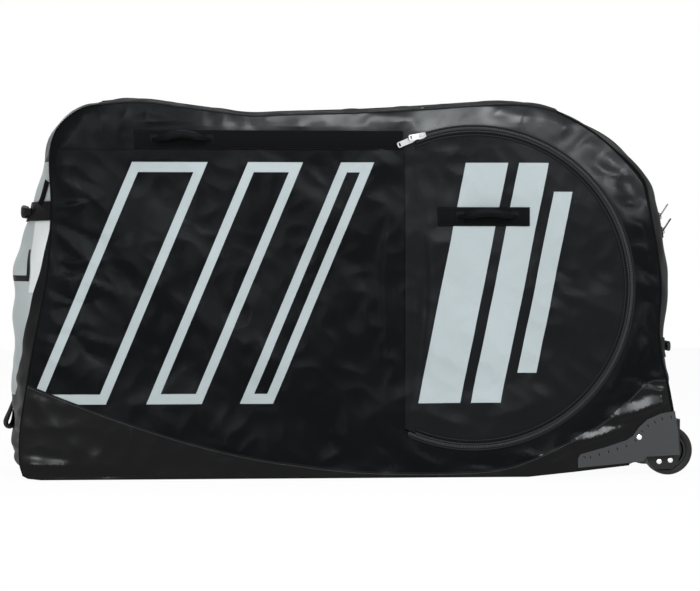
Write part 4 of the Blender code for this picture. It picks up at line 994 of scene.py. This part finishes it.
for name, seam, facing, centre, span, width, bow, grip in (
        ("front", front_seam, -1, (-0.63709, 0, 0.53492), 0.150, 0.028, 0.019, (0.0062, 0.0132)),
        ("rear", rear_seam, 1, (0.66154, 0, 0.258), 0.120, 0.024, 0.011, (0.0036, 0.0104))):
    handle(name + "_grip", centre, (0, 1, 0), (facing, 0, 0), span, bow, grip, name + "_handle")
    z = round(centre[2], 3)
    low, middle, high = [share_at(seam, z + step) for step in (-STRAP_WIDTH / 2, 0, STRAP_WIDTH / 2)]
    band = woven(8, 80, lambda u, v: on_end(seam, facing, low + (high - low) * u,
                                            (2 * v - 1) * BAND_HALF, 0.0034))
    finish_piece(name + "_band", band, webbing_y, "bag", (name + "_webbing",), (facing, 0, 0),
                 wall=0.002)
    sewn_ends(name + "_ends", lambda along: on_end(seam, facing, np.full(len(along), middle), along, 0.0036),
              span - 0.004, width, (facing, 0, 0), "bag")

for label, side in SIDES:
    rise = np.linspace(0, 1, 24)
    shares = np.interp(0.548 + 0.046 * rise, front_seam[:, 1], np.linspace(0, 1, len(front_seam)))
    line = on_end(front_seam, -1, shares, side * (0.104 + 0.036 * rise), 0.0052)
    finish_piece("front_stay_" + label, swept(line, (-0.5, side, 0), strap(0.0016, 0.011)), webbing_y, "bag",
                 sharp=50)

# %% [markdown]
# ## The tow loop
#
# A doubled strap at the foot of the light end, folded back on itself, for pulling the bag on its wheels. It
# is swept along the solid's own path, with a slight twist, because a strap that hangs is never quite square.

# %% Tow loop
LOOP = ((-0.6790, 0.1680), (-0.6790, 0.1540), (-0.6816, 0.1442), (-0.6881, 0.1260), (-0.6944, 0.1106),
        (-0.6956, 0.1036), (-0.6933, 0.0980), (-0.6873, 0.0966), (-0.6820, 0.1015), (-0.6798, 0.1092),
        (-0.6790, 0.1190), (-0.6790, 0.1316))
loop = curve_through(LOOP, 6)
line = np.stack([loop[:, 0], np.zeros(len(loop)), loop[:, 1]], axis=1)
side_way = np.cross(np.gradient(line, axis=0), (0, 1, 0))
side_way /= np.linalg.norm(side_way, axis=1)[:, None]
twist = np.radians(16) * np.sin(math.pi * np.linspace(0, 1, len(line)))
side_way = side_way * np.cos(twist)[:, None] + np.array((0, 1, 0)) * np.sin(twist)[:, None]
tow = swept(line, side_way, strap(0.0036, STRAP_WIDTH, -0.0018))
finish_piece("tow_strap", tow, webbing_y, "bag", ("tow_loop",), sharp=50)

# %% [markdown]
# ## The zips
#
# A pocket zip is two tapes with a nylon coil between them and a raised lip along each side, where the
# cloth is folded over. A texture could show the coil, but it would not stand out in the meshes. So it is
# small blocks, drawn coarse at 3.4 mm a turn so that the picture shows them. One half rides on the door,
# the other stays on the bag.

# %% Pocket zips
LIP = oval(0.0012, 0.0018, 8)
COIL_PITCH = 0.0034


def ring_line(side, radius, inset, lift):
    """An arc about the pocket, stopped short of the upright seam."""
    return on_side(side, d_line(radius, SEAM_X + inset, 300), lift)


for label, side in SIDES:
    outward = (0, side, 0)
    for half, sign, body, inset, lip_gap, coil_gap, coil_width in (
            ("door", -1, "door_" + label, 0.022, 0.0092, -0.0018, 0.0030),
            ("panel", 1, "bag", 0.006, 0.0098, 0.0040, 0.0066)):
        line = ring_line(side, ZIP_RADIUS + sign * 0.0056, inset, 0.0005)
        tape = swept(line, outward, strap(0.0011, 0.0100))
        finish_piece(f"{half}_tape_{label}", tape, zip_tape, body,
                     (f"{half}_zip_tape_{label}",), sharp=50)
        line = ring_line(side, ZIP_RADIUS + sign * lip_gap, inset, 0.0020)
        lip = swept(line, outward, oval(0.0012, 0.0015, 8))
        finish_piece(f"{half}_lip_{label}", lip, zip_lip, body)
        teeth = add_bits(bmesh.new(), ring_line(side, ZIP_RADIUS + coil_gap, inset, 0.0022), outward,
                         (0.0019, coil_width, 0.0020), COIL_PITCH, 0.5 + 0.25 * sign)
        bmesh.ops.bevel(teeth, geom=teeth.edges[:], offset=0.0005, segments=1, profile=0.5, affect="EDGES",
                        material=-1)
        finish_piece(f"{half}_coil_{label}", teeth, coil, body)

# %% [markdown]
# ## The long zip
#
# The main zip runs along the crown between the two flaps and down the rear end, so that the whole top
# opens. Each flap takes its own half of the tape, lip and coil, laid on the crown's formula. On the rear
# end both halves stay on the bag, because that part doesn't open in the model.

# %% The long zip over the top and down the rear
LIP_Y = 0.0056
TAPE_HALF = 0.0185
LONG_COIL_PITCH = 0.0022
for label, side in SIDES:
    def tape_place(u, v):
        """Half of the long zip's tape, on the crown."""
        return on_top(side, 0.002 + 0.996 * u, 0.0004 + 0.0184 * v) + (0, 0, 0.0008)

    shares = np.linspace(0.002, 0.998, 200)
    flap = "flap_" + label
    finish_piece("long_tape_" + label, woven(200, 4, tape_place), zip_tape, flap,
                 ("main_zip_tape_" + label,), (0, 0, 1), wall=0.0006)
    line = on_top(side, shares, np.full(200, LIP_Y)) + (0, 0, 0.0018)
    finish_piece("long_lip_" + label, swept(line, (0, 0, 1), LIP), zip_lip, flap)
    line = on_top(side, shares, np.full(200, 0.0012)) + (0, 0, 0.0014)
    teeth = add_bits(bmesh.new(), line, (0, 0, 1), (0.0012, 0.0030, 0.0012), LONG_COIL_PITCH,
                     0.5 + 0.25 * side)
    finish_piece("long_coil_" + label, teeth, coil, flap)
start, stop = share_at(rear_seam, 0.483), 0.998
tape = woven(90, 8, lambda u, v: on_end(rear_seam, 1, start + (stop - start) * u, (2 * v - 1) * TAPE_HALF,
                                        0.0014))
finish_piece("rear_tape", tape, zip_tape, "bag", ("main_zip_tape_rear",), (1, 0, 0), wall=0.0008)
shares = np.linspace(start, stop, 120)
lips = [swept(on_end(rear_seam, 1, shares, np.full(120, y), 0.0024), (1, 0, 0.3), LIP)
        for y in (-LIP_Y, LIP_Y)]
finish_piece("rear_lips", joined(*lips), zip_lip, "bag")
teeth = add_bits(bmesh.new(), on_end(rear_seam, 1, shares, np.zeros(120), 0.0020), (1, 0, 0.3),
                 (0.0012, 0.0046, 0.0012), LONG_COIL_PITCH)
finish_piece("rear_coil", teeth, coil, "bag")
print("zips made")

# %% [markdown]
# ## Wheels and corner guards
#
# The wheels are 100 mm inline-skate style wheels. A tyre is round in every cut, so it is turned from one
# profile, and its hub from another.

# %% Wheels by spinning a profile
WHEEL_X, WHEEL_Y, WHEEL_Z = 0.650, 0.1175, 0.050
TYRE = ((0.0362, -0.0125), (0.0405, -0.0150), (0.0455, -0.0146), (0.0488, -0.0112), (0.0499, -0.0060),
        (0.0500, 0.0), (0.0499, 0.0060), (0.0488, 0.0112), (0.0455, 0.0146), (0.0405, 0.0150),
        (0.0362, 0.0125))
HUB = ((0.0066, -0.0125), (0.0120, -0.0125), (0.0136, -0.0050), (0.0290, -0.0050), (0.0312, -0.0115),
       (0.0356, -0.0115), (0.0356, 0.0115), (0.0312, 0.0115), (0.0290, 0.0050), (0.0136, 0.0050),
       (0.0120, 0.0125), (0.0066, 0.0125))


def spun(profile, y):
    """A ring of revolution about the axle, from a closed profile of radius and width."""
    mesh = bmesh.new()
    points = [mesh.verts.new((WHEEL_X, y + across, WHEEL_Z - out)) for out, across in profile]
    edges = [mesh.edges.new(pair) for pair in zip(points, points[1:] + points[:1])]
    bmesh.ops.spin(mesh, geom=points + edges, cent=(WHEEL_X, y, WHEEL_Z), axis=(0, 1, 0), dvec=(0, 0, 0),
                   angle=2 * math.pi, steps=96, use_merge=True, use_duplicate=False)
    return mesh


for label, side in SIDES:
    for name, profile, finish in (("tyre", TYRE, rubber), ("hub", HUB, dark_plastic)):
        ring = spun(profile, side * WHEEL_Y)
        finish_piece(f"wheel_{name}_{label}", ring, finish, "wheel_" + label, (f"{name}_{label}",),
                     sharp=35)

# %% [markdown]
# ## The rigid solids
#
# The moulded guard, the rivets and the sliders are rigid, and the frame's solids already have their shape.
# So they stay as they are and get rounded edges from a bevel, which keeps its width at every corner, and
# their real finishes.

# %% Finishes and rounded edges for the rigid solids
FINISH = {"tarpaulin": tarpaulin, "zip_metal": zinc, "moulded_plastic": moulded, "stiff_board": dark_plastic,
          "steel": steel, "tyre": rubber, "hub": dark_plastic, "coated_nylon": nylon, "webbing": webbing_x,
          "zip_tape": zip_tape, "end_panel": silver, "foam": lining}
EDGE = {"zip_metal": 0.0004, "moulded_plastic": 0.0008, "steel": 0.0003, "stiff_board": 0.0010}
kept = 0
for node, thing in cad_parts.items():
    if thing.hide_render or not thing.data.materials:
        continue
    slot_name = thing.data.materials[0].name.split(".")[0]
    material = FINISH.get(slot_name)
    if node.startswith(("wheel_housing", "main_pull_b", "main_slider")):
        material = dark_plastic
    elif node == "main_pull_a":
        material = dull_metal
    if material is None:
        print("no finish for", node, slot_name)
        continue
    thing.data.materials[0] = material
    if slot_name in EDGE:
        bevel = thing.modifiers.new("Edges", "BEVEL")
        bevel.width = EDGE[slot_name]
        bevel.segments = 2
        bevel.limit_method = "ANGLE"
        bevel.angle_limit = math.radians(40)
    kept += 1
print("kept solids", kept)

# %% [markdown]
# ## Light, floor and camera
#
# A white studio. Black cloth shows its folds by what it reflects, so three small lamps in front give each
# flank its own band of light: a tall key lamp, one from the left and one from the right. One large lamp
# would wash them out. Two softer ones light the top and the back. The floor and the world are white to the
# camera and to reflections, and dimmer to the rays that light the cloth, so that the black stays black.

# %% Studio
WHITE = (1.0, 1.0, 1.0, 1.0)


def put(name, data, place, aim):
    """A lamp or a camera at a place, which looks at a point."""
    thing = bpy.data.objects.new(name, data)
    thing.location = place
    thing.rotation_euler = (Vector(aim) - Vector(place)).to_track_quat("-Z", "Y").to_euler()
    bpy.context.collection.objects.link(thing)
    return thing


def camera_white(owner, ending, dull, bright, share):
    """A share of a bright shader for camera, glossy and transmission rays, and a dull one for the others."""
    owner.use_nodes = True
    owner.node_tree.nodes.clear()
    rays = Value(owner, "ShaderNodeLightPath")
    camera, glossy, clear = rays.outputs("Is Camera Ray", "Is Glossy Ray", "Is Transmission Ray")
    seen = camera.math("MAXIMUM", glossy.math("MAXIMUM", clear))
    mix = Value(owner, "ShaderNodeMixShader",
                {0: seen * share, 1: Value(owner, *dull), 2: Value(owner, *bright)})
    Value(owner, ending, {0: mix})


world = bpy.data.worlds.new("studio")
bpy.context.scene.world = world
camera_white(world, "ShaderNodeOutputWorld", ("ShaderNodeBackground", {0: WHITE, 1: 0.22}),
             ("ShaderNodeBackground", {0: WHITE, 1: 1.0}), 1.0)

for name, place, aim, size, power, tall in (
        ("key", (0.4, -3.0, 2.2), (0, 0, 0.4), 0.42, 70, 2.2),
        ("left", (-1.1, -3.05, 1.05), (0, 0, 0.35), 0.38, 26, 1.0),
        ("right", (2.0, -2.75, 1.65), (0.2, 0, 0.35), 0.38, 30, 1.0),
        ("top", (0.0, 0.5, 3.0), (0, 0, 0.5), 1.0, 40, 1.0),
        ("back", (-2.2, 2.6, 2.2), (0, 0, 0.35), 0.9, 45, 1.0)):
    lamp = bpy.data.lights.new(name, "AREA")
    lamp.shape = "RECTANGLE"
    lamp.size = size
    lamp.size_y = size * tall
    lamp.energy = power
    lamp.color = (0.95, 0.98, 1.0)
    put(name, lamp, place, aim)

floor_mesh = bmesh.new()
bmesh.ops.create_grid(floor_mesh, x_segments=1, y_segments=1, size=6)
floor_data = bpy.data.meshes.new("floor")
floor_mesh.to_mesh(floor_data)
floor_mesh.free()
floor = bpy.data.objects.new("floor", floor_data)
bpy.context.collection.objects.link(floor)
paper = bpy.data.materials.new("white_paper")
camera_white(paper, "ShaderNodeOutputMaterial", ("ShaderNodeBsdfDiffuse", {0: (0.8, 0.8, 0.8, 1.0)}),
             ("ShaderNodeEmission", {0: WHITE, 1: 1.0}), 0.96)
floor_data.materials.append(paper)

# %% [markdown]
# ## Camera
#
# The photo is taken almost square on, from a little to the left, so that some of the front end shows. A
# long lens keeps the near side nearly flat, and a shorter one from close by would spread the ends.

# %% Camera
camera_data = bpy.data.cameras.new("camera")
camera_data.lens = 116
camera_data.sensor_width = 36
bpy.context.scene.camera = put("camera", camera_data, (-0.318, -4.65, 0.45), (0.0, -0.15, 0.366))
bpy.context.scene.view_settings.view_transform = "Standard"
